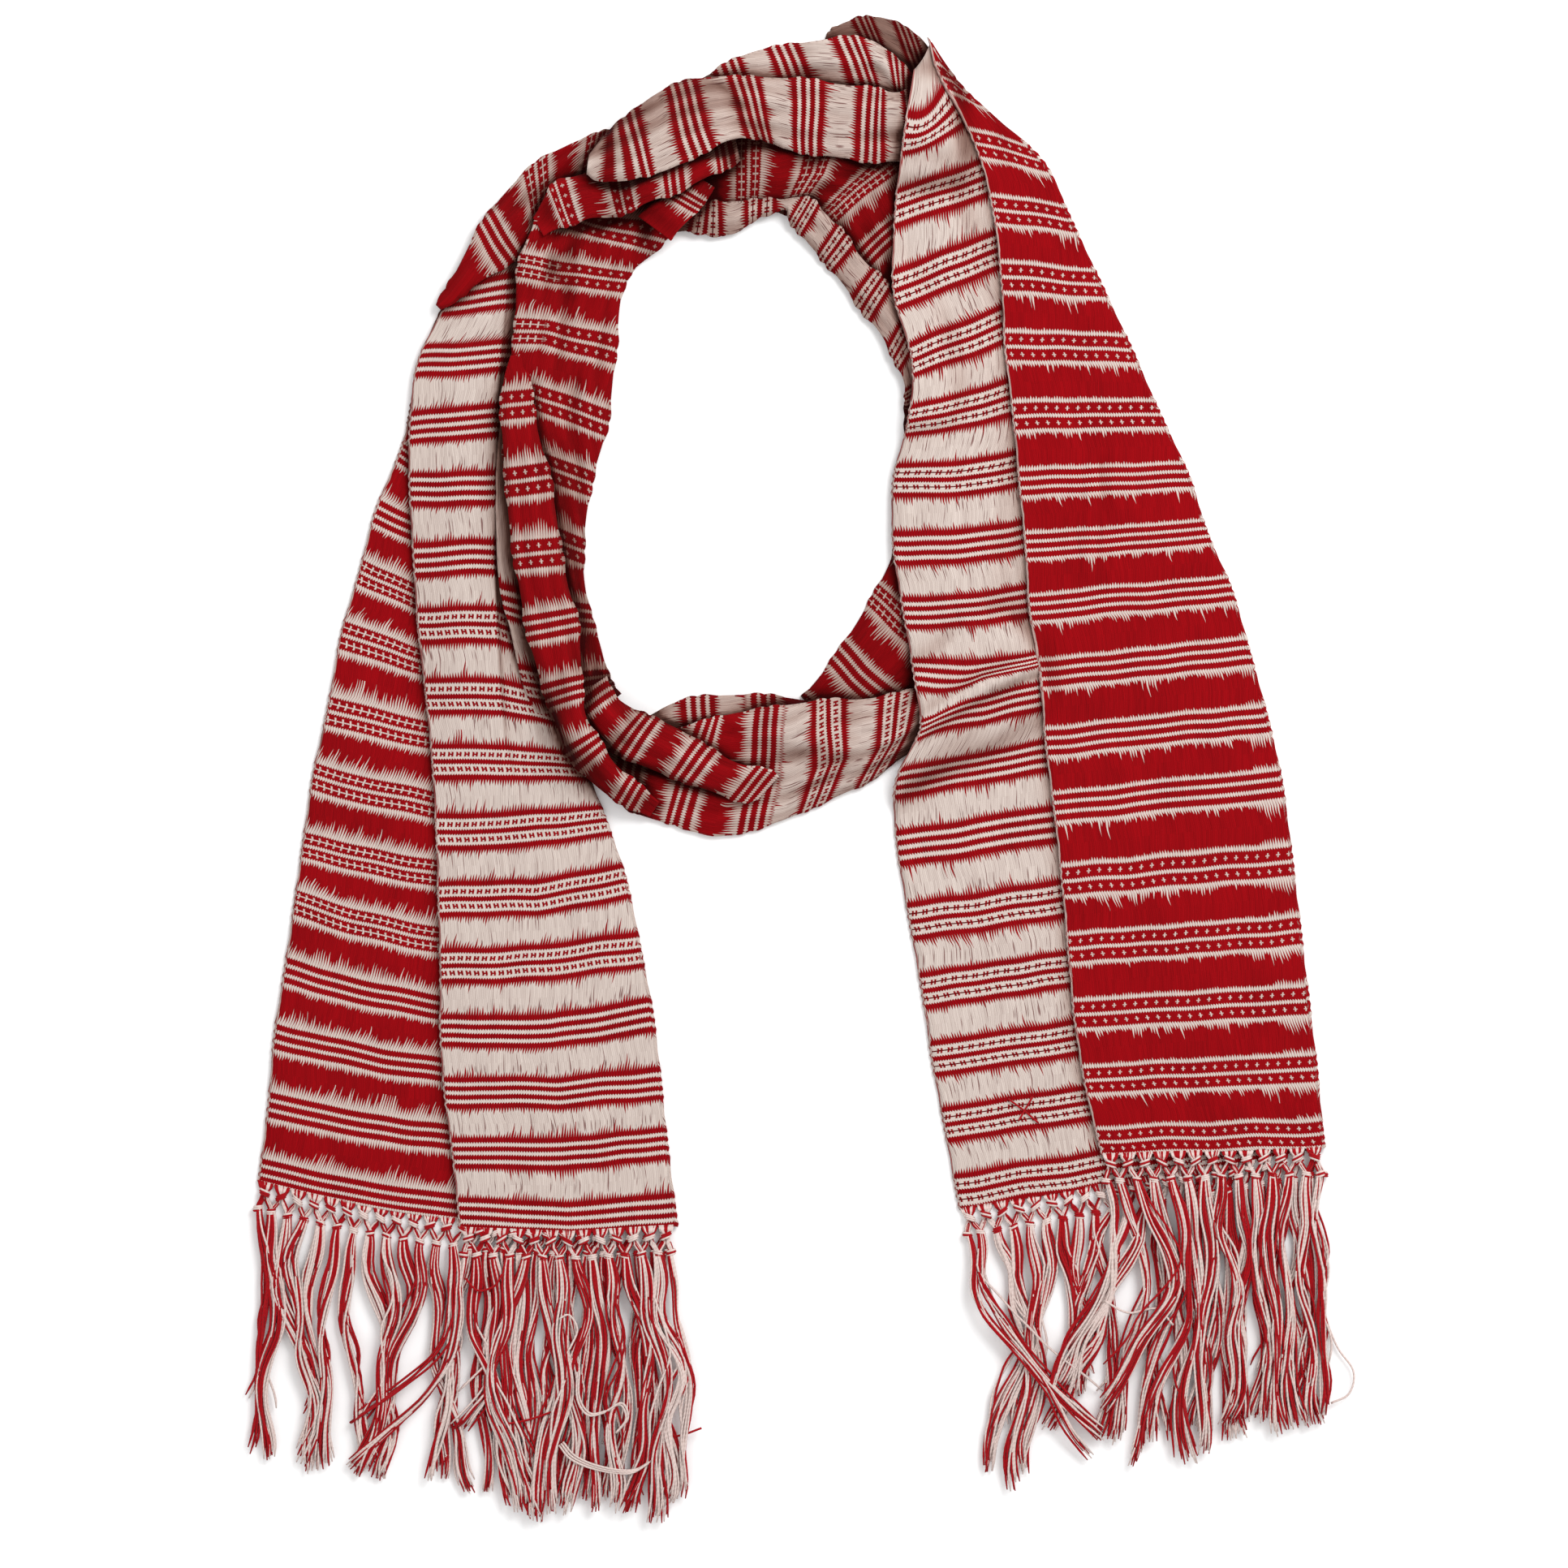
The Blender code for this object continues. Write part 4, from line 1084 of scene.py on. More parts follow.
def volume(points: Array, faces: Array) -> float:
    """Signed volume inside four-cornered faces, as the sum of their cones from the origin.

    Args:
        points: places.
        faces: corner numbers, four for each face.

    Returns:
        The volume, negative where the faces point in.
    """
    a, b, c, d = (points[faces[:, number]] for number in range(4))
    first = np.einsum("ij,ij->i", a, np.cross(b, c)).sum()
    return float(first + np.einsum("ij,ij->i", a, np.cross(c, d)).sum()) / 6.0


@dataclass
class Cloth:
    """A stretch of cloth: what it is called, what it stands for and its stripes."""

    name: str
    node: str
    slot: str
    groups: str
    face: Face
    flat: tuple[float, float]
    held: str = "gathered"
    # Painted shade over the whole stretch, for the shade it lies in: its colour is multiplied by this
    shade: float = 1.0
    flow: int = 1
    # How strongly, and at most how far, painted shade darkens its hollows
    hollow: float = 2.3
    darkest: float = 0.88

    def kinds(self, places: Array) -> Array:
        """The number of the nearest group's kind at each place along, in stripe groups."""
        codes = np.array([Stripe[letter].value for letter in self.groups])
        return codes[np.clip(np.floor(places + 0.5).astype(int), 0, len(codes) - 1)]

    def finish(self, loops: Array, across: Array, along: Array, face: Array,
               linked: Array, material: Material) -> Piece:
        """Make the cloth's mesh from loops of points, with the values that its weave reads.

        Args:
            loops: points, rows by places round.
            across: place across in millimetres, for each point.
            along: place along in stripe groups, for each point.
            face: which face shows, for each point.
            linked: 1 where a thread links the crosses, for each point.
            material: the weave.

        Returns:
            The piece.
        """
        rows, around = loops.shape[:2]
        points = loops.reshape(-1, 3)
        faces = loop_faces(rows, around)
        if volume(points, faces) < 0.0:
            faces = faces[:, ::-1]
        cloth = np.stack([across, along * self.flow, self.kinds(along)], axis=-1).reshape(-1, 3)
        values = {"cloth": cloth, "face": face.ravel(), "linked": linked.ravel(),
                  "shade": np.full(len(points), self.shade)}
        piece = add_piece(self.name, points, faces, [material], values)
        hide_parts(self.node)
        return piece

    def paint_hollow_shade(self, piece: Piece, table: Table) -> None:
        """Paint shade on the cloth's upper side where higher cloth shuts it in, once all of it is laid.

        Its shade attribute, the painted shade, is multiplied by 1 less a share of how far the point is
        shut in.

        Args:
            piece: the finished piece.
            table: the table and what lies on it.
        """
        mesh = piece.data
        place, normal = (np.empty(3 * len(mesh.vertices), dtype=np.float32) for _ in range(2))
        shade = np.empty(len(mesh.vertices), dtype=np.float32)
        mesh.vertices.foreach_get("co", place)
        mesh.vertices.foreach_get("normal", normal)
        mesh.attributes["shade"].data.foreach_get("value", shade)
        x, y, z = (place.reshape(-1, 3) / MM + np.array([MIDDLE_X, MIDDLE_Y, 0.0])).T
        upward = clamp(normal[2::3] * 3.0 + 0.6)
        shade *= 1.0 - np.minimum(self.hollow * table.shut_in(x, y, z), self.darkest) * upward
        mesh.attributes["shade"].data.foreach_set("value", shade.astype(np.float32))


@dataclass
class FoldedTail(Cloth):
    """A tail folded lengthwise: a back layer, a round fold down its right edge and a front layer.

    Once it is laid, each of its hems is known, as points of the plan from its selvedge.
    """

    rows: Sequence[TailRow] = ()
    first_place: float = 0.4
    last_place: float = 17.25
    back_folds: Sequence[Fold] = ()
    front_folds: Sequence[Fold] = ()
    per_row: int = 15
    back_columns: int = 52
    nose_columns: int = 7
    half_columns: int = 24
    edge_wave: float = 0.5
    line_step: float = 4.4
    puff: float = 0.2
    pinch_reach: float = 15.0
    back_hem: Array = field(init=False)
    front_hem: Array = field(init=False)

    def section(self) -> tuple[Array, Array, Array]:
        """Centre points of the tail's section at every step along it.

        The back layer runs from its selvedge to the fold along a parabola through its point under
        the front selvedge. The fold is half a circle, FOLD_SPREAD across. The front layer runs
        back over it, raised by its crease's step between the crease and the front selvedge.

        Returns:
            The plan, the height over what it lies on, and the place along of each step.
        """
        places = np.arange(len(self.rows), dtype=float)
        places[0], places[-1] = self.first_place, self.last_place
        flat = [[*row.back, *row.under, *row.fold, *row.crease, *row.edge, row.step, place]
                for row, place in zip(self.rows, places)]
        line = smooth_rows(flat, self.per_row)
        back, under, fold, crease, edge = (line[:, start:start + 2] for start in (0, 2, 4, 6, 8))
        step, place = line[:, 10], line[:, 11]
        bulge = self.edge_bulge(place)
        inward = unit(back - fold)
        back = back + inward * bulge[:, None]
        fold = fold - inward * bulge[:, None]
        edge = edge + inward * bulge[:, None] * 0.8
        radius = FOLD_SPREAD / 2
        seam = fold + inward * radius
        reach = np.clip((under - back)[:, 0] / (seam - back)[:, 0], 0.05, 0.95)[:, None]
        bend = ((under - back)[:, 1:] - reach * (seam - back)[:, 1:]) / (reach * (reach - 1.0))
        parts = np.linspace(0.0, 1.0, self.back_columns)
        back_layer = lerp(back, seam, parts)
        back_layer[:, :, 1] += np.clip(bend, -40.0, 40.0) * parts * (parts - 1.0)
        turn = np.linspace(0.0, math.pi, self.nose_columns + 2)[1:-1]
        nose = seam[:, None, :] - inward[:, None, :] * (np.sin(turn) * radius)[None, :, None]
        front_in = lerp(seam, crease, np.linspace(0.0, 0.98, self.half_columns))
        front_out = lerp(crease, edge, np.linspace(0.02, 1.0, self.half_columns))
        plan = np.concatenate([back_layer, nose, front_in, front_out], axis=1)
        height = np.zeros(plan.shape[:2])
        nose_end = self.back_columns + self.nose_columns
        height[:, self.back_columns:nose_end] = radius * (1 - np.cos(turn))
        height[:, nose_end:] = FOLD_SPREAD
        shape = 1.0 - np.linspace(0.0, 1.0, self.half_columns) ** 3
        height[:, nose_end + self.half_columns:] += step[:, None] * shape
        return plan, height, place

    def edge_bulge(self, place: Array) -> Array:
        """How far the edges stand out: a little at each line of a group, more in plain stretches.

        Args:
            place: places along, in stripe groups.

        Returns:
            Distances in millimetres, negative outwards.
        """
        away = (place - np.floor(place + 0.5)) * STRIPE_PITCH
        lines = np.cos(2 * math.pi * away / self.line_step) * (np.abs(away) < 2 * self.line_step)
        plain = clamp(np.abs(away) / 8.0 - 1.0)
        return -self.edge_wave * (lines * 0.6 + plain)

    def build(self, table: Table, material: Material) -> Piece:
        """Lay the tail on what is there, as a wall on both sides of its centre surface.

        Args:
            table: the table and what lies on it.
            material: the weave.

        Returns:
            The piece.
        """
        plan, height, place = self.section()
        back = slice(0, self.back_columns)
        front = slice(self.back_columns + self.nose_columns, None)
        plan[:, back] = self.pinch(plan[:, back])
        x, y = plan[..., 0], plan[..., 1]
        puff = self.puff * (1.0 - np.cos(2 * math.pi * place))[:, None]
        relief = fold_relief(x[:, back], y[:, back], self.back_folds)
        height[:, back] += np.maximum(relief + puff + self.ripple(x[:, back], y[:, back]), 0.0)
        relief = fold_relief(x[:, front], y[:, front], self.front_folds) + puff
        height[:, front] += np.maximum(relief + self.ripple(x[:, front], y[:, front]), -0.6)
        raised = table.lift(x, y)
        centre = np.stack([x, y, raised + height + CLOTH / 2], axis=-1)
        normal = unit(np.cross(np.gradient(centre, axis=0), np.gradient(centre, axis=1)))
        outside, inside = centre + normal * CLOTH / 2, centre - normal * CLOTH / 2
        for side in (outside, inside):
            side[..., 2] = np.maximum(side[..., 2], 0.0)
            table.add(side[..., 0], side[..., 1], side[..., 2])
        loops = np.concatenate([outside, inside[:, ::-1]], axis=1)
        length = np.linalg.norm(np.diff(centre[..., :2], axis=1), axis=-1)
        across = np.concatenate([np.zeros((len(x), 1)), np.cumsum(length, axis=1)], axis=1)
        across[:, front] = across[:, -1:] - across[:, front]
        along = np.repeat(place[:, None], loops.shape[1], axis=1)
        outer = np.full(x.shape, self.face.value)
        face = np.concatenate([1.0 - outer, outer], axis=1)
        linked = np.concatenate([np.ones_like(x), np.zeros_like(x)], axis=1)
        across = np.concatenate([across, across[:, ::-1]], axis=1)
        piece = self.finish(loops, across, along, face, linked, material)
        self.back_hem, self.front_hem = plan[-1, back], plan[-1, front][::-1]
        return piece

    def pinch(self, plan: Array) -> Array:
        """Draw the back layer's points towards its first fold, the less the further away they are.

        Args:
            plan: points on the plan.

        Returns:
            The points, moved along the cloth by their distance from the fold times a bell of it.
        """
        if not self.back_folds:
            return plan
        start, middle, end = self.back_folds[0][:3]
        level = np.interp(plan[..., 0], [end.x, middle.x, start.x], [end.y, middle.y, start.y])
        away = plan[..., 1] - level
        fade = clamp((plan[..., 0] - end.x + 14.0) / 25.0)
        fade *= clamp((start.x + 32.0 - plan[..., 0]) / 30.0)
        moved = plan.copy()
        moved[..., 1] -= 0.5 * away * fade * np.exp(-(away / self.pinch_reach) ** 2)
        return moved

    def ripple(self, x: Array, y: Array) -> Array:
        """Slight waves of cloth that lies loose: two crossing sines with long uneven periods."""
        return 0.35 * np.sin(x / 17.0 + 0.9 * np.sin(y / 41.0)) * np.sin(y / 29.0 + 0.013 * x)


@dataclass
class GatheredBand(Cloth):
    """A stretch gathered round the neck: a rounded wall of hidden layers, layered at its edges."""

    rows: Sequence[BandRow] = ()
    fullness: float = 3.0
    folds: Sequence[Fold] = ()
    layers: int = 1
    columns: int = 40
    per_row: int = 10
    lip_columns: int = 6
    lip: float = 0.8
    face_change: float = math.inf
    rumple: float = 0.5
    pleat_beat: float = 0.62
    puff: float = 0.3
    linked_from: float = -FAR_ACROSS
    grow: float = 0.0
    sink: float = 0.0
    bury: float = 0.8
    scallop: float = 0.8
    scallop_end: float = 10.0
    scallop_pitch: float = 7.3
    steepest: float = math.inf

    def build(self, table: Table, material: Material) -> Piece:
        """Lay the band on what is there.

        The top swells from edge to edge by a power of a sine. Folds, pleats that wander across the
        band by sines, and a slight puff between the groups are added to it.
        Each edge turns down over its layers, each layer a round lip. A band that is one cloth
        with what it lies on rises out of it over its first rows and sinks back over its last.
        A band with a steepest slope bridges a step beneath it: each point lies at least as high
        as any other of its row less that slope times the way between them.

        Args:
            table: the table and what lies on it.
            material: the weave.

        Returns:
            The piece.
        """
        flat = [[*row.outer, *row.crease, *row.inner, row.place] for row in self.rows]
        line = smooth_rows(flat, self.per_row)
        outer, crease, inner = (line[:, start:start + 2] for start in (0, 2, 4))
        place = line[:, 6]
        from_group = (place - np.round(place)) * STRIPE_PITCH
        swelling = self.scallop * clamp((self.scallop_end - np.abs(from_group)) / 3.0)
        swelling *= 0.5 + np.abs(np.sin(math.pi * from_group / self.scallop_pitch))
        inward = inner - outer
        inward *= (swelling / np.maximum(np.linalg.norm(inward, axis=1), 0.1))[:, None]
        outer, inner = outer - inward, inner + inward
        spread = (1.0 - np.cos(np.linspace(0.0, math.pi, self.columns))) / 2.0
        bend = np.linalg.norm(crease - outer, axis=1)
        total = np.maximum(bend + np.linalg.norm(inner - crease, axis=1), 0.1)
        bend = (bend / total)[:, None]
        before = np.minimum(spread / np.maximum(bend, 0.01), 1.0)
        beyond = clamp((spread - bend) / np.maximum(1.0 - bend, 0.01))
        plan = (outer[:, None] + (crease - outer)[:, None] * before[..., None]
                + (inner - crease)[:, None] * beyond[..., None])
        x, y = plan[..., 0], plan[..., 1]
        across = (spread - bend) * total[:, None]
        swell = self.fullness * np.sin(math.pi * spread) ** 0.7
        relief = fold_relief(x, y, self.folds) + self.puff * (1.0 - np.cos(2 * math.pi * place))[:, None]
        apart = np.ones_like(place)
        if self.grow + self.sink > 0.0:
            apart = clamp((place - place[0]) / max(self.grow, 1e-3))
            apart *= clamp((place[-1] - place) / max(self.sink, 1e-3))
            apart *= apart * (3.0 - 2.0 * apart)
        thick = CLOTH * self.layers
        bottom = table.lift(x, y)
        if self.steepest < math.inf:
            way = np.abs(across[:, :, None] - across[:, None, :])
            bottom = (bottom[:, None, :] - self.steepest * way).max(axis=2)
        bottom = np.maximum(bottom - (1.0 - apart)[:, None] * (thick + LAYER_GAP + self.bury), 0.0)
        fade = clamp(np.sin(math.pi * spread) * 3.0)
        pleats = self.rumple * np.sin(across * self.pleat_beat + 1.7 * np.sin(place * 1.3)[:, None]) * fade
        pleats += self.rumple * 0.7 * np.sin(place * 5.3 + 0.4)[:, None] * np.cos(across * 0.21) * fade
        top = bottom + thick + np.maximum(swell + pleats + relief, 0.0) * apart[:, None]
        table.add(x, y, top)
        outward = unit(inner - outer)
        drop = np.linspace(0.0, 1.0, self.lip_columns + 2)[1:-1]
        lip = np.abs(np.sin(math.pi * drop * self.layers)) * self.lip

        def edge(pick: slice, way: float, start: Array, end: Array) -> Array:
            """The round lips down one edge.

            Args:
                pick: the edge's column.
                way: 1 where outwards is from outer to inner, else -1.
                start: heights that the lips start from.
                end: heights that they end at.

            Returns:
                Their points.
            """
            fall = start[:, pick] + (end[:, pick] - start[:, pick]) * drop
            spot = plan[:, pick] + way * outward[:, None, :] * lip[None, :, None]
            return np.concatenate([spot, fall[..., None]], axis=-1)

        def roll_round(sides: list[Array]) -> Array:
            """Join a loop's four sides, starting halfway down the last lips."""
            return np.roll(np.concatenate(sides, axis=1), self.lip_columns // 2, axis=1)

        def around(value: Array) -> Array:
            """Carry a value of the top round the lips and under."""
            ends = [np.repeat(value[:, pick], self.lip_columns, axis=1) for pick in (last, first)]
            return roll_round([value, ends[0], value[:, ::-1], ends[1]])

        first, last = slice(0, 1), slice(-1, None)
        joined = roll_round([np.stack([x, y, top], axis=-1), edge(last, 1.0, top, bottom),
                             np.stack([x, y, bottom], axis=-1)[:, ::-1], edge(first, -1.0, bottom, top)])
        along = np.repeat(place[:, None], self.columns, axis=1)
        face = np.where(along > self.face_change, 1.0 - self.face.value, self.face.value)
        linked = np.where(across < self.linked_from, 1.0, 0.0)
        return self.finish(joined, around(across) + FAR_ACROSS, around(along), around(face),
                           around(linked), material)


def tubes(paths: Array, radius: Array, closed: bool) -> tuple[Array, Array, Array]:
    """Four-sided tubes along many paths at once.

    Each ring lies square to its path: its two directions are the path's cross product with a
    fixed slant direction, and the cross product of the two.

    Args:
        paths: points, tubes by points along by 3.
        radius: a radius for each point of each path.
        closed: whether each path joins its own start.

    Returns:
        The points, the faces, and the place along, turn and path number of each point.
    """
    shape = (*paths.shape[:2], 4)
    index = np.arange(math.prod(shape)).reshape(shape)
    if closed:
        slant = np.array([0.05, 0.99, 0.11])
        ahead = np.roll(paths, -1, axis=1) - np.roll(paths, 1, axis=1)
        here, beyond = index, np.roll(index, -1, axis=1)
        ends = []
    else:
        slant = np.array([0.31, 0.17, 0.94])
        ahead = np.gradient(paths, axis=1)
        here, beyond = index[:, :-1], index[:, 1:]
        ends = [index[:, 0], index[:, -1, ::-1]]
    first = unit(np.cross(unit(ahead), slant))
    second = np.cross(unit(ahead), first)
    angle = np.arange(4) * 2 * math.pi / 4
    ring = first[:, :, None] * np.cos(angle)[:, None] + second[:, :, None] * np.sin(angle)[:, None]
    points = paths[:, :, None] + ring * radius[:, :, None, None]
    faces = np.stack([here, np.roll(here, -1, axis=2), np.roll(beyond, -1, axis=2), beyond], axis=-1)
    faces = np.concatenate([faces.reshape(-1, 4)[:, ::-1], *ends])
    walked = np.linalg.norm(np.diff(paths, axis=1), axis=-1)
    walked = np.concatenate([np.zeros((shape[0], 1)), np.cumsum(walked, axis=1)], axis=1)
    values = [np.broadcast_to(value, shape) for value in
              (walked[:, :, None], np.arange(4) / 4, np.arange(shape[0])[:, None, None])]
    return points.reshape(-1, 3), faces, np.stack(values, axis=-1).reshape(-1, 3)


@dataclass
class YarnHeap:
    """Yarns gathered for one mesh, each red or cream."""

    points: list = field(default_factory=list)
    faces: list = field(default_factory=list)
    values: list = field(default_factory=list)
    colours: list = field(default_factory=list)
    count: int = 0

    def add(self, paths: Array, radius: Array, cream: Array, tone_and_shade: Array,
            closed: bool = False) -> None:
        """Add yarns along paths.

        Args:
            paths: points, yarns by points along by 3.
            radius: a radius for each point of each path.
            cream: whether each yarn is cream.
            tone_and_shade: how dark each yarn is, by its own tone and by painted shade.
            closed: whether each path joins its own start.
        """
        points, faces, values = tubes(paths, radius, closed)
        number = values[:, 2].astype(int)
        values[:, 2] = tone_and_shade[number]
        self.points.append(points)
        self.faces.append(faces + self.count)
        self.values.append(values)
        self.colours.append(cream[number[faces[:, 0]]].astype(np.int32))
        self.count += len(points)

    def add_stray(self, stray: Stray, lift: float, radius: float = 0.55) -> None:
        """Add loose yarns side by side, each waving a little up and down.

        Args:
            stray: the yarns.
            lift: height of what they lie on.
            radius: half a yarn's thickness.
        """
        curve = smooth_rows(np.reshape(stray.curve, (-1, 2)), 6)
        number = np.arange(stray.count)
        plan = curve[None] + number[:, None, None] * np.array([1.0, 0.8])
        wave = np.sin(np.linspace(0.0, 3.0 * math.pi, len(curve))[None, :] + number[:, None])
        height = lift + stray.height + 0.5 * wave
        paths = np.concatenate([plan, height[..., None]], axis=-1)
        self.add(paths, np.full(paths.shape[:2], radius), np.full(stray.count, stray.cream),
                 np.full(stray.count, 0.15))

    def piece(self, name: str, materials: Sequence[Material]) -> Piece:
        """Make the mesh.

        Args:
            name: the piece's name.
            materials: red yarn, then cream yarn.

        Returns:
            The piece.
        """
        points, faces, values, colours = (np.concatenate(part) for part in
                                          (self.points, self.faces, self.values, self.colours))
        made = add_piece(name, points, faces, materials, {"yarn": values})
        made.data.polygons.foreach_set("material_index", colours)
        return made


@dataclass
class FringeLayer:
    """One layer of knotted fringe: fans of yarn, a net between two rows of knots, hanging locks.

    A row of knots has its depth below the hem, half a knot's width and how far a knot leans.
    """

    name: str
    node: str
    locks: Sequence[Lock]
    seed: int
    lift: float
    strays: Sequence[Stray] = ()
    pitch: float = 8.2
    yarns: int = 20
    first_knots: tuple[float, float, float] = (4.2, 2.4, 0.5)
    second_knots: tuple[float, float, float] = (12.6, 2.1, 0.25)
    knot_height: float = 2.4
    knot_half: float = 1.7
    ring_step: float = 0.95
    ring_radius: float = 0.58
    margin: float = 1.6
    yarn_radius: float = 0.6
    net_height: float = 0.7
    hang_height: float = 2.3
    hang_points: int = 26
    usual_length: float = 116.0
    colour_change: float = 0.12
    fray: float = 1.6

    def build(self, hem: Array, materials: Sequence[Material]) -> Piece:
        """Hang the layer from a hem.

        Each yarn runs from its place on the hem to a knot of the first row, on to one of the two
        knots below it, and down its lock. A lock is a ribbon of yarns side by side, about three
        deep, that turns and winds as it hangs and sways on a smooth curve. It opens below the knot
        and again at its frayed end, and each yarn waves a little on its own.

        Args:
            hem: points of the hem from its selvedge.
            materials: red yarn, then cream yarn.

        Returns:
            The piece.
        """
        rng = np.random.default_rng(self.seed)
        along = unit(hem[-1] - hem[0])
        down = np.array([along[1], -along[0]])
        places = (hem - hem[0]) @ along
        width = places[-1]
        bundles = int(round(width / self.pitch))
        pitch = width / bundles
        total = bundles * self.yarns

        def spot(place: Array, depth: float) -> Array:
            """Find points on the plan.

            Args:
                place: places along the hem.
                depth: how far below it they are.

            Returns:
                The points.
            """
            x = np.interp(place, places, hem[:, 0]) + down[0] * depth
            y = np.interp(place, places, hem[:, 1]) + down[1] * depth
            return np.stack([x, y], axis=-1)

        def per_yarn(low: float, high: float) -> Array:
            """A column of random numbers, one for each yarn."""
            return rng.uniform(low, high, (total, 1))

        def per_lock(low: float, high: float) -> Array:
            """A column of random numbers for the yarns, the same for all of a lock."""
            return rng.uniform(low, high, bundles + 1)[lock, None]

        # Which bundle and lock each yarn belongs to, and where it is in its bundle
        order = np.arange(total)
        source, rank = order // self.yarns, order % self.yarns
        lock = source + (rank >= self.yarns // 2)
        fan = (rank + 0.5) / self.yarns * 2.0 - 1.0
        first_places = (np.arange(bundles) + 0.5) * pitch
        second_places = np.clip(np.arange(bundles + 1) * pitch, self.margin, width - self.margin)
        cream = (order // 4 + np.cumsum(rng.random(total) < self.colour_change)) % 2 == 0
        tone_and_shade = rng.uniform(0.0, 0.7, total)
        tight = rng.uniform(-1.0, 1.0, (2, total))

        # The net
        net = []
        for depth, share, spread, full in NET:
            middle = first_places[source] + (second_places[lock] - first_places[source]) * share
            offset = (fan if share < 0.2 else tight[0]) * spread
            z = self.lift + self.net_height + (tight[1] * 0.5 + 1.0) * full * 0.8
            net.append(np.column_stack([spot(middle + offset, depth), z]))

        # The locks: those beyond the listed ones hang nearly straight
        table = list(self.locks)
        while len(table) < bundles + 1:
            table.append(Lock(*rng.uniform(-3.0, 3.0, 4), self.usual_length + rng.uniform(-6.0, 6.0)))
        table = np.array(table)
        levels = np.linspace(0.0, 1.0, self.hang_points)
        curve = smooth_rows(np.vstack([np.zeros(len(table)), table[:, :4].T]), 8).T
        sways = np.array([np.interp(levels, np.linspace(0.0, 1.0, curve.shape[1]), row) for row in curve])
        ribbon = (((order + self.yarns // 2) % self.yarns + 0.5) / self.yarns * 2.0 - 1.0)[:, None]
        deep = (order % 3 - 1.0)[:, None] * per_yarn(0.7, 1.2) + per_yarn(-0.3, 0.3)
        slant = per_lock(-0.5, 0.5)
        winding = per_lock(1.0, 4.5) * rng.choice([-1.0, 1.0], bundles + 1)[lock, None]
        turn = slant + winding * levels
        half = np.interp(levels, LOCK_PARTS, LOCK_WIDTHS) * per_lock(0.85, 1.2)
        side = ribbon * half * np.cos(turn) - deep * 0.9 * np.sin(turn)
        up = (ribbon * np.sin(turn) + deep * np.cos(turn) * 0.8) * np.minimum(half / 3.0, 1.0)
        start = per_lock(0.0, 2 * math.pi)
        phase = start + rng.normal(0.0, 0.7, (total, 1))
        beat = levels * per_lock(9.0, 14.0)
        swing = per_lock(1.0, 2.4)
        wave = per_yarn(0.3, 1.0) * np.sin(beat + phase)
        wave += 0.3 * np.sin(levels * per_yarn(22.0, 32.0) + 2.0 * phase)
        wave += swing * np.sin(beat + start)
        side += wave * np.minimum(levels * 5.0, 1.0)
        # Painted shade: yarns that lie lower in the lock are darker
        tone_and_shade = tone_and_shade + clamp(-deep[:, 0]) * 0.4
        root = spot(second_places[lock], self.second_knots[0])
        length = table[lock, 4, None] * per_yarn(0.95, 1.02)
        length *= np.where(rng.random((total, 1)) < 0.08, 0.8, 1.0)
        fray = rng.normal(0.0, self.fray, (total, 1)) * clamp(levels * 3.0 - 2.2) ** 2
        rise = table[lock, 5, None] * 1.7 + per_lock(0.0, 0.8)
        stack = rise * np.minimum(np.sin(math.pi * (levels * 0.92 + 0.02)) * 1.6, 1.0)
        z = self.lift + self.hang_height + self.yarn_radius + np.maximum(up, -1.9) + stack
        x, y = root[:, :1] + sways[lock] + side + fray, root[:, 1:] - levels * length
        hang = np.stack([x, y, z], axis=-1)
        paths = np.concatenate([np.stack(net, axis=1), hang], axis=1)
        radius = np.full(paths.shape[:2], self.yarn_radius)
        radius[:, -1] *= 0.5

        heap = YarnHeap()
        heap.add(paths, radius, cream, tone_and_shade)
        for middles, knots in ((first_places, self.first_knots), (second_places, self.second_knots)):
            self.tie(heap, spot(middles, knots[0]), along, down, rng, *knots[1:])
        for stray in self.strays:
            heap.add_stray(stray, self.lift)
        piece = heap.piece(self.name, materials)
        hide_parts(self.node)
        return piece

    def tie(self, heap: YarnHeap, middles: Array, along: Array, down: Array,
            rng: np.random.Generator, reach: float, tilt: float) -> None:
        """Wrap each knot of a row: three rings side by side on a slant, round the bundle.

        Args:
            heap: where the yarns go.
            middles: the knots' middles on the plan.
            along: direction of the hem.
            down: direction away from the cloth.
            rng: the layer's random numbers.
            reach: half the knot's width.
            tilt: how far a ring leans, as a share of its width.
        """
        count, points = len(middles), 12
        angle = np.arange(points) * 2 * math.pi / points
        lean = rng.choice([-1.0, 1.0], count) * tilt * rng.uniform(0.5, 1.3, count)
        for offset in (-self.ring_step, 0.0, self.ring_step):
            scale = 1.0 - 0.12 * abs(offset)
            side = np.cos(angle) * reach * scale
            shift = offset + lean[:, None] * side
            plan = middles[:, None, :] + along * side[..., None] + down * shift[..., None]
            z = self.lift + self.knot_height + np.sin(angle) * self.knot_half * scale
            z = np.broadcast_to(z, (count, points))
            paths = np.concatenate([plan, z[..., None]], axis=-1)
            cream = rng.random(count) < 0.55
            radius = np.full(z.shape, self.ring_radius)
            heap.add(paths, radius, cream, rng.uniform(0.0, 0.6, count), True)


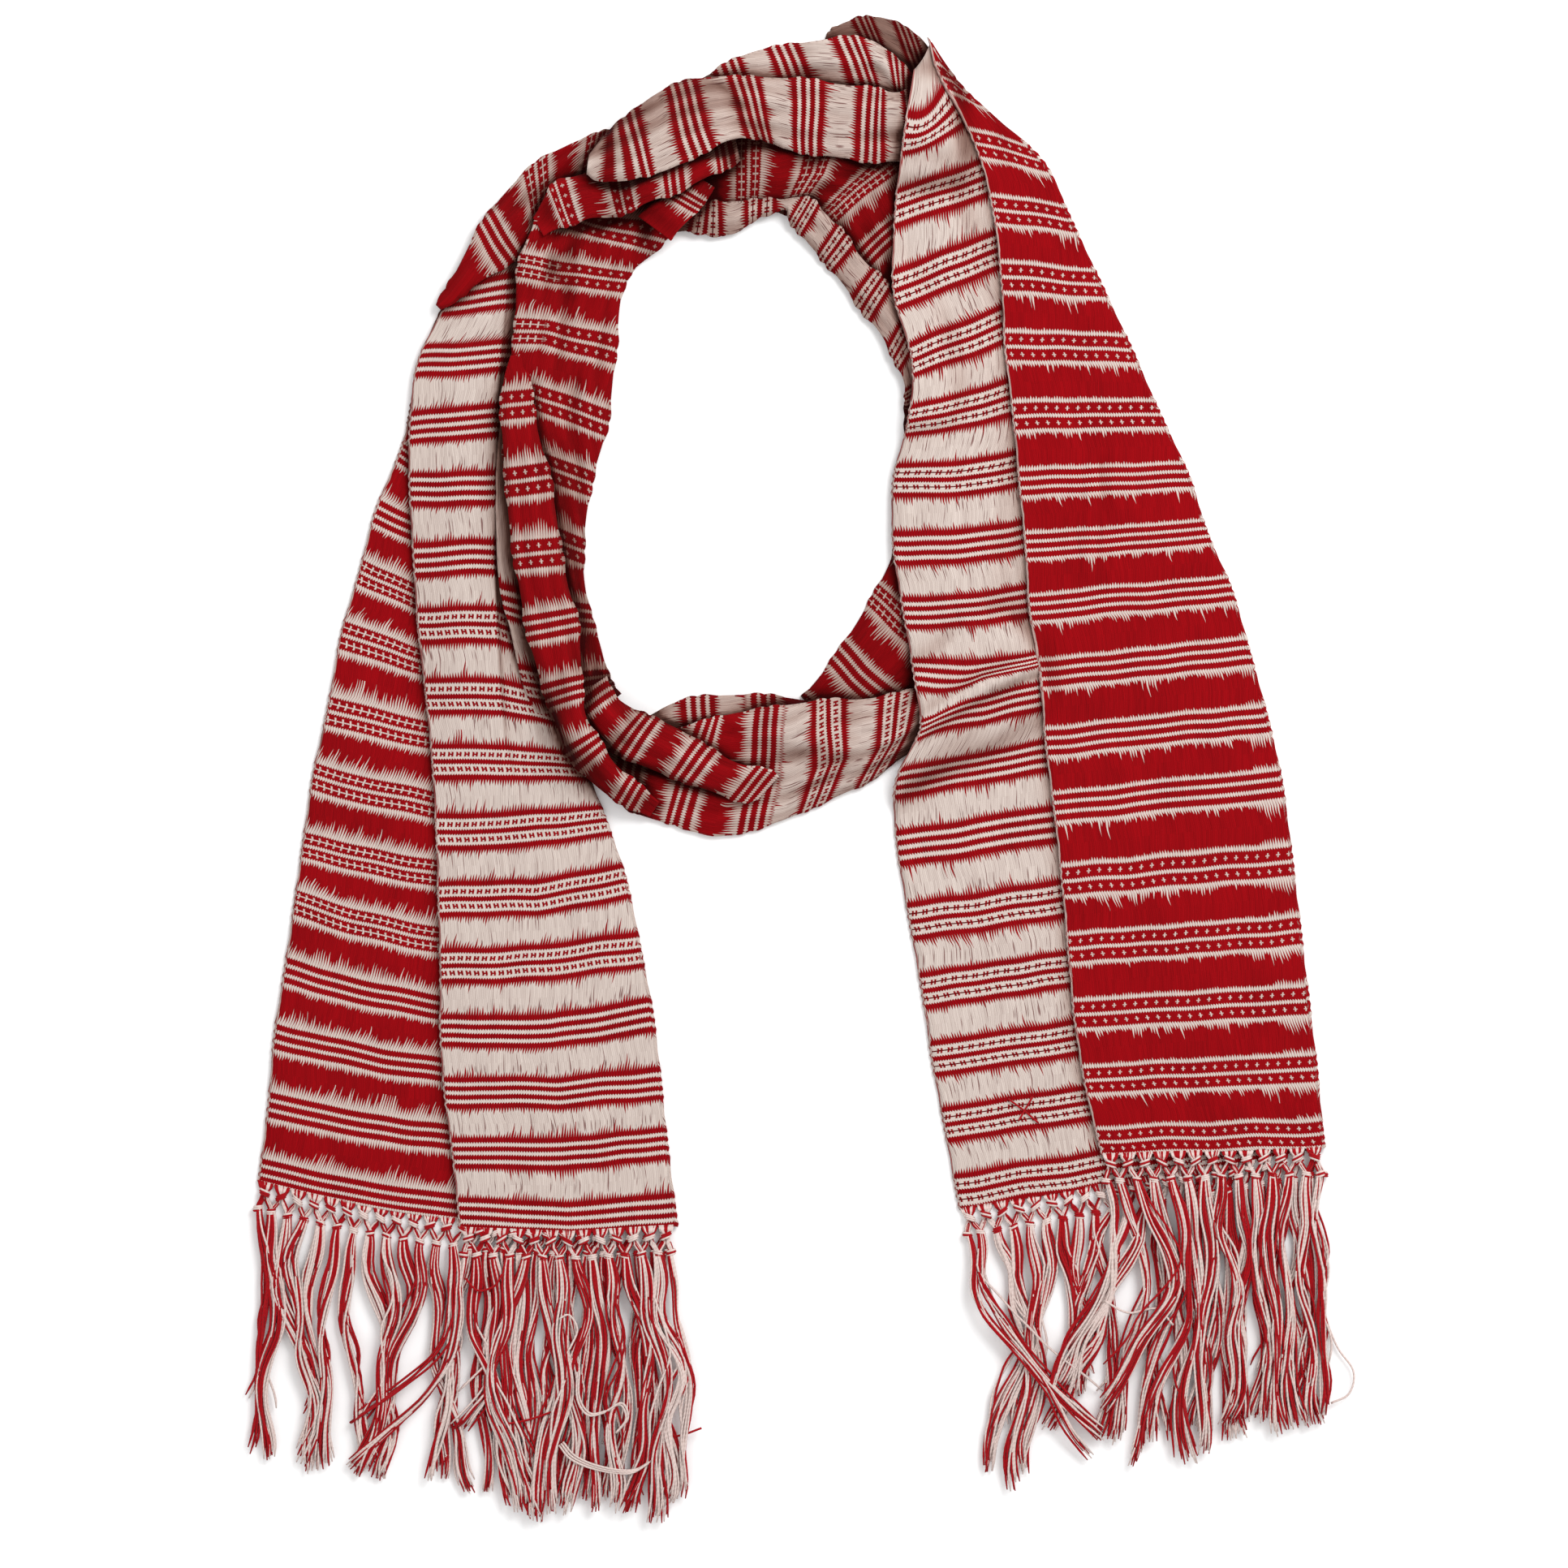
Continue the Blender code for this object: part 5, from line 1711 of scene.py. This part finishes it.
@dataclass
class Studio:
    """The pale floor, the soft light and the camera straight above."""

    picture_pixels: int = 1932
    pixel_mm: float = 0.4
    middle: tuple[float, float] = (-3.56, -7.56)
    lens: float = 150.0
    sensor: float = 36.0
    floor_half: float = 4.0
    floor_height: float = -0.0004
    room_strength: float = 0.9
    lamp_size: float = 1.1
    lamp_energy: float = 29.5
    lamp_place: tuple[float, float, float] = (0.9, 1.1, 1.5)
    lamp_turn: tuple[float, float, float] = (-37.0, 31.0, 0.0)

    def floor(self) -> None:
        """Lay a pale matt floor."""
        half, height = self.floor_half, self.floor_height
        mesh = bpy.data.meshes.new("pale_floor")
        corner = ((-half, -half), (half, -half), (half, half), (-half, half))
        mesh.from_pydata([(x, y, height) for x, y in corner], [], [(0, 1, 2, 3)])
        material, _ = new_material("pale_floor", {"Base Color": (0.96, 0.96, 0.96), "Roughness": 0.9,
                                                  "Specular IOR Level": 0.1})
        mesh.materials.append(material)
        floor = add_object("pale_floor", mesh)

    def light(self) -> None:
        """Light the scarf with a bright room and one wide soft lamp from the upper right."""
        world = bpy.data.worlds.new("bright_room")
        bpy.context.scene.world = world
        world.use_nodes = True
        background = world.node_tree.nodes["Background"]
        background.inputs["Color"].default_value = (1.0, 1.0, 1.0, 1.0)
        background.inputs["Strength"].default_value = self.room_strength
        lamp = bpy.data.lights.new("soft_lamp", "AREA")
        lamp.shape = "DISK"
        lamp.size = self.lamp_size
        lamp.energy = self.lamp_energy
        made = add_object("soft_lamp", lamp)
        made.location = self.lamp_place
        made.rotation_euler = tuple(math.radians(angle) for angle in self.lamp_turn)

    def camera(self) -> None:
        """Look straight down at the picture's middle, as wide as the picture."""
        lens = bpy.data.cameras.new("straight_down")
        lens.lens = self.lens
        lens.sensor_width = self.sensor
        lens.clip_end = 100.0
        made = add_object("straight_down", lens)
        wide = self.picture_pixels * self.pixel_mm * MM
        made.location = (self.middle[0] * MM, self.middle[1] * MM, wide * self.lens / self.sensor)
        bpy.context.scene.camera = made

    def build(self) -> None:
        """Make the floor, the light and the camera."""
        self.floor()
        self.light()
        self.camera()
        bpy.context.scene.view_settings.view_transform = "Standard"


def main() -> None:
    """Lay the scarf from the table up, hang its fringe and light it."""
    logging.basicConfig(level=logging.INFO)
    Studio().build()
    dye = CottonDye()
    weave = DoubleWeave(dye)
    cloth = weave.material(weave.group())
    yarns = [TwistedYarn("red_yarn", dye.loose_red, dye.dark_and_shaded_red).material(),
             TwistedYarn("cream_yarn", dye.loose_cream, dye.dark_and_shaded_cream).material()]
    left = FoldedTail("cloth_left_tail", "left_tail", "cream_cotton", "PLLLLLXXXXXXLLLLL", Face.CREAM,
                      (0.215, 0.48), "folded", flow=-1, rows=LEFT_TAIL, first_place=0.2, last_place=15.25,
                      front_folds=LEFT_FRONT_FOLDS)
    # Each band's shade is painted shade, low for a stretch that lies in shade, such as the crown inside
    # its fold
    bands = (
        GatheredBand("cloth_left_tuck", "left_tail", "cream_cotton", "PLX", Face.CREAM, (0.02, 0.14),
                     "folded", 0.78, -1, rows=LEFT_TUCK, fullness=0.8, columns=26, grow=0.5, sink=1.2,
                     scallop=0.3),
        GatheredBand("cloth_neck_back", "neck_back", "shaded_red_cotton", "PXXXLXXXXXXLXLL", Face.RED,
                     (0.038, 0.42), shade=0.72, rows=NECK_BACK, fullness=2.0, folds=NECK_BACK_FOLDS,
                     columns=48, linked_from=50.0),
        GatheredBand("cloth_neck_crown", "neck_crown", "cream_cotton", "PLLL", Face.CREAM,
                     (0.024, 0.065), shade=0.36, rows=NECK_CROWN, fullness=1.0),
        GatheredBand("cloth_neck_hem", "neck_back", "cream_cotton", "PXXXXXXX", Face.CREAM, (0.014, 0.2),
                     "folded", 0.74, rows=NECK_HEM, fullness=1.6, columns=20, per_row=12, linked_from=50.0,
                     scallop=1.1),
        GatheredBand("cloth_bottom_rear", "loop_bottom", "red_cotton", "PLLL", Face.CREAM, (0.017, 0.09),
                     shade=0.9, flow=-1, rows=BOTTOM_REAR, fullness=2.5, columns=24, face_change=1.73),
        GatheredBand("cloth_loop_bottom", "loop_bottom", "red_cotton", "PLLLXXXX", Face.RED,
                     (0.055, 0.205), shade=0.9, flow=-1, rows=LOOP_BOTTOM, fullness=3.5,
                     folds=LOOP_BOTTOM_FOLDS, layers=2, columns=60, face_change=3.27),
        GatheredBand("cloth_left_turn", "left_turn", "shaded_red_cotton", "PLXXL", Face.RED,
                     (0.025, 0.125), shade=0.85, flow=-1, rows=LEFT_TURN, fullness=1.5,
                     linked_from=50.0, sink=0.8),
        GatheredBand("cloth_loop_left", "loop_left", "red_cotton", "PXXXXXXLLL", Face.RED, (0.05, 0.29),
                     shade=0.87, flow=-1, rows=LOOP_LEFT, fullness=2.5, folds=LOOP_LEFT_FOLDS, layers=2,
                     columns=60, per_row=16, linked_from=0.0),
        GatheredBand("cloth_bottom_roll", "loop_bottom", "red_cotton", "LLLL", Face.RED, (0.022, 0.11),
                     shade=0.9, flow=-1, rows=BOTTOM_ROLL, fullness=4.0, columns=32, grow=0.35, sink=0.9),
        GatheredBand("cloth_loop_flap", "loop_left", "red_cotton", "PXXXXXXLLLL", Face.RED, (0.022, 0.25),
                     "folded", 0.88, -1, rows=LOOP_FLAP, columns=30, per_row=12, grow=1.5, sink=0.6),
        GatheredBand("cloth_roll_fold", "neck_roll", "red_cotton", "PLL", Face.RED, (0.014, 0.035),
                     "folded", 0.9, -1, rows=ROLL_FOLD, fullness=1.2, columns=20, grow=0.5, scallop=0.4),
        GatheredBand("cloth_neck_roll", "neck_roll", "red_cotton", "PXXLL", Face.RED, (0.022, 0.10),
                     shade=0.9, flow=-1, rows=NECK_ROLL, fullness=1.4, folds=NECK_ROLL_FOLDS, layers=2,
                     grow=0.7),
        GatheredBand("cloth_neck_rear", "neck_front", "cream_cotton", "PLLLLLL", Face.CREAM,
                     (0.022, 0.13), shade=0.95, rows=NECK_REAR, fullness=1.8, folds=NECK_REAR_FOLDS,
                     columns=32, per_row=12),
        GatheredBand("cloth_neck_front", "neck_front", "cream_cotton", "PLLLLLL", Face.CREAM,
                     (0.045, 0.18), shade=0.89, rows=NECK_FRONT, fullness=2.6, folds=NECK_FRONT_FOLDS,
                     layers=2, columns=50, per_row=12, steepest=0.5),
    )
    right = FoldedTail("cloth_right_tail", "right_tail", "red_cotton", "PXXXXXXLLLLLLXXXXX", Face.RED,
                       (0.235, 0.56), "folded", rows=RIGHT_TAIL, back_folds=RIGHT_BACK_FOLDS,
                       front_folds=RIGHT_FRONT_FOLDS)

    table = Table()
    stretches = (left, *bands, right)
    laid = {}
    for stretch in stretches:
        laid[stretch.name] = stretch.build(table, cloth)
        log.info("laid %s", stretch.name)
    # Painted shade in the hollows, once all the cloth is laid
    for stretch in stretches:
        stretch.paint_hollow_shade(laid[stretch.name], table)

    knot = YarnHeap()
    for stray in MENDING_KNOT:
        knot.add_stray(stray, float(table.read(table.tops, *stray.curve[2:4])), 0.5)
    knot_piece = knot.piece("yarn_mending_knot", yarns)
    log.info("tied %s", knot_piece.name)
    for node, locks, seed, lift, strays, hem in (
            ("fringe_left_back", LEFT_BACK_LOCKS, 3, 0.0, (), left.back_hem),
            ("fringe_left_front", LEFT_FRONT_LOCKS, 5, FOLD_SPREAD, LEFT_STRAYS, left.front_hem),
            ("fringe_right_back", RIGHT_BACK_LOCKS, 7, 0.0, (), right.back_hem),
            ("fringe_right_front", RIGHT_FRONT_LOCKS, 9, FOLD_SPREAD, RIGHT_STRAYS, right.front_hem)):
        FringeLayer("yarn_" + node, node, locks, seed, lift, strays).build(hem, yarns)


if __name__ == "__main__":
    main()
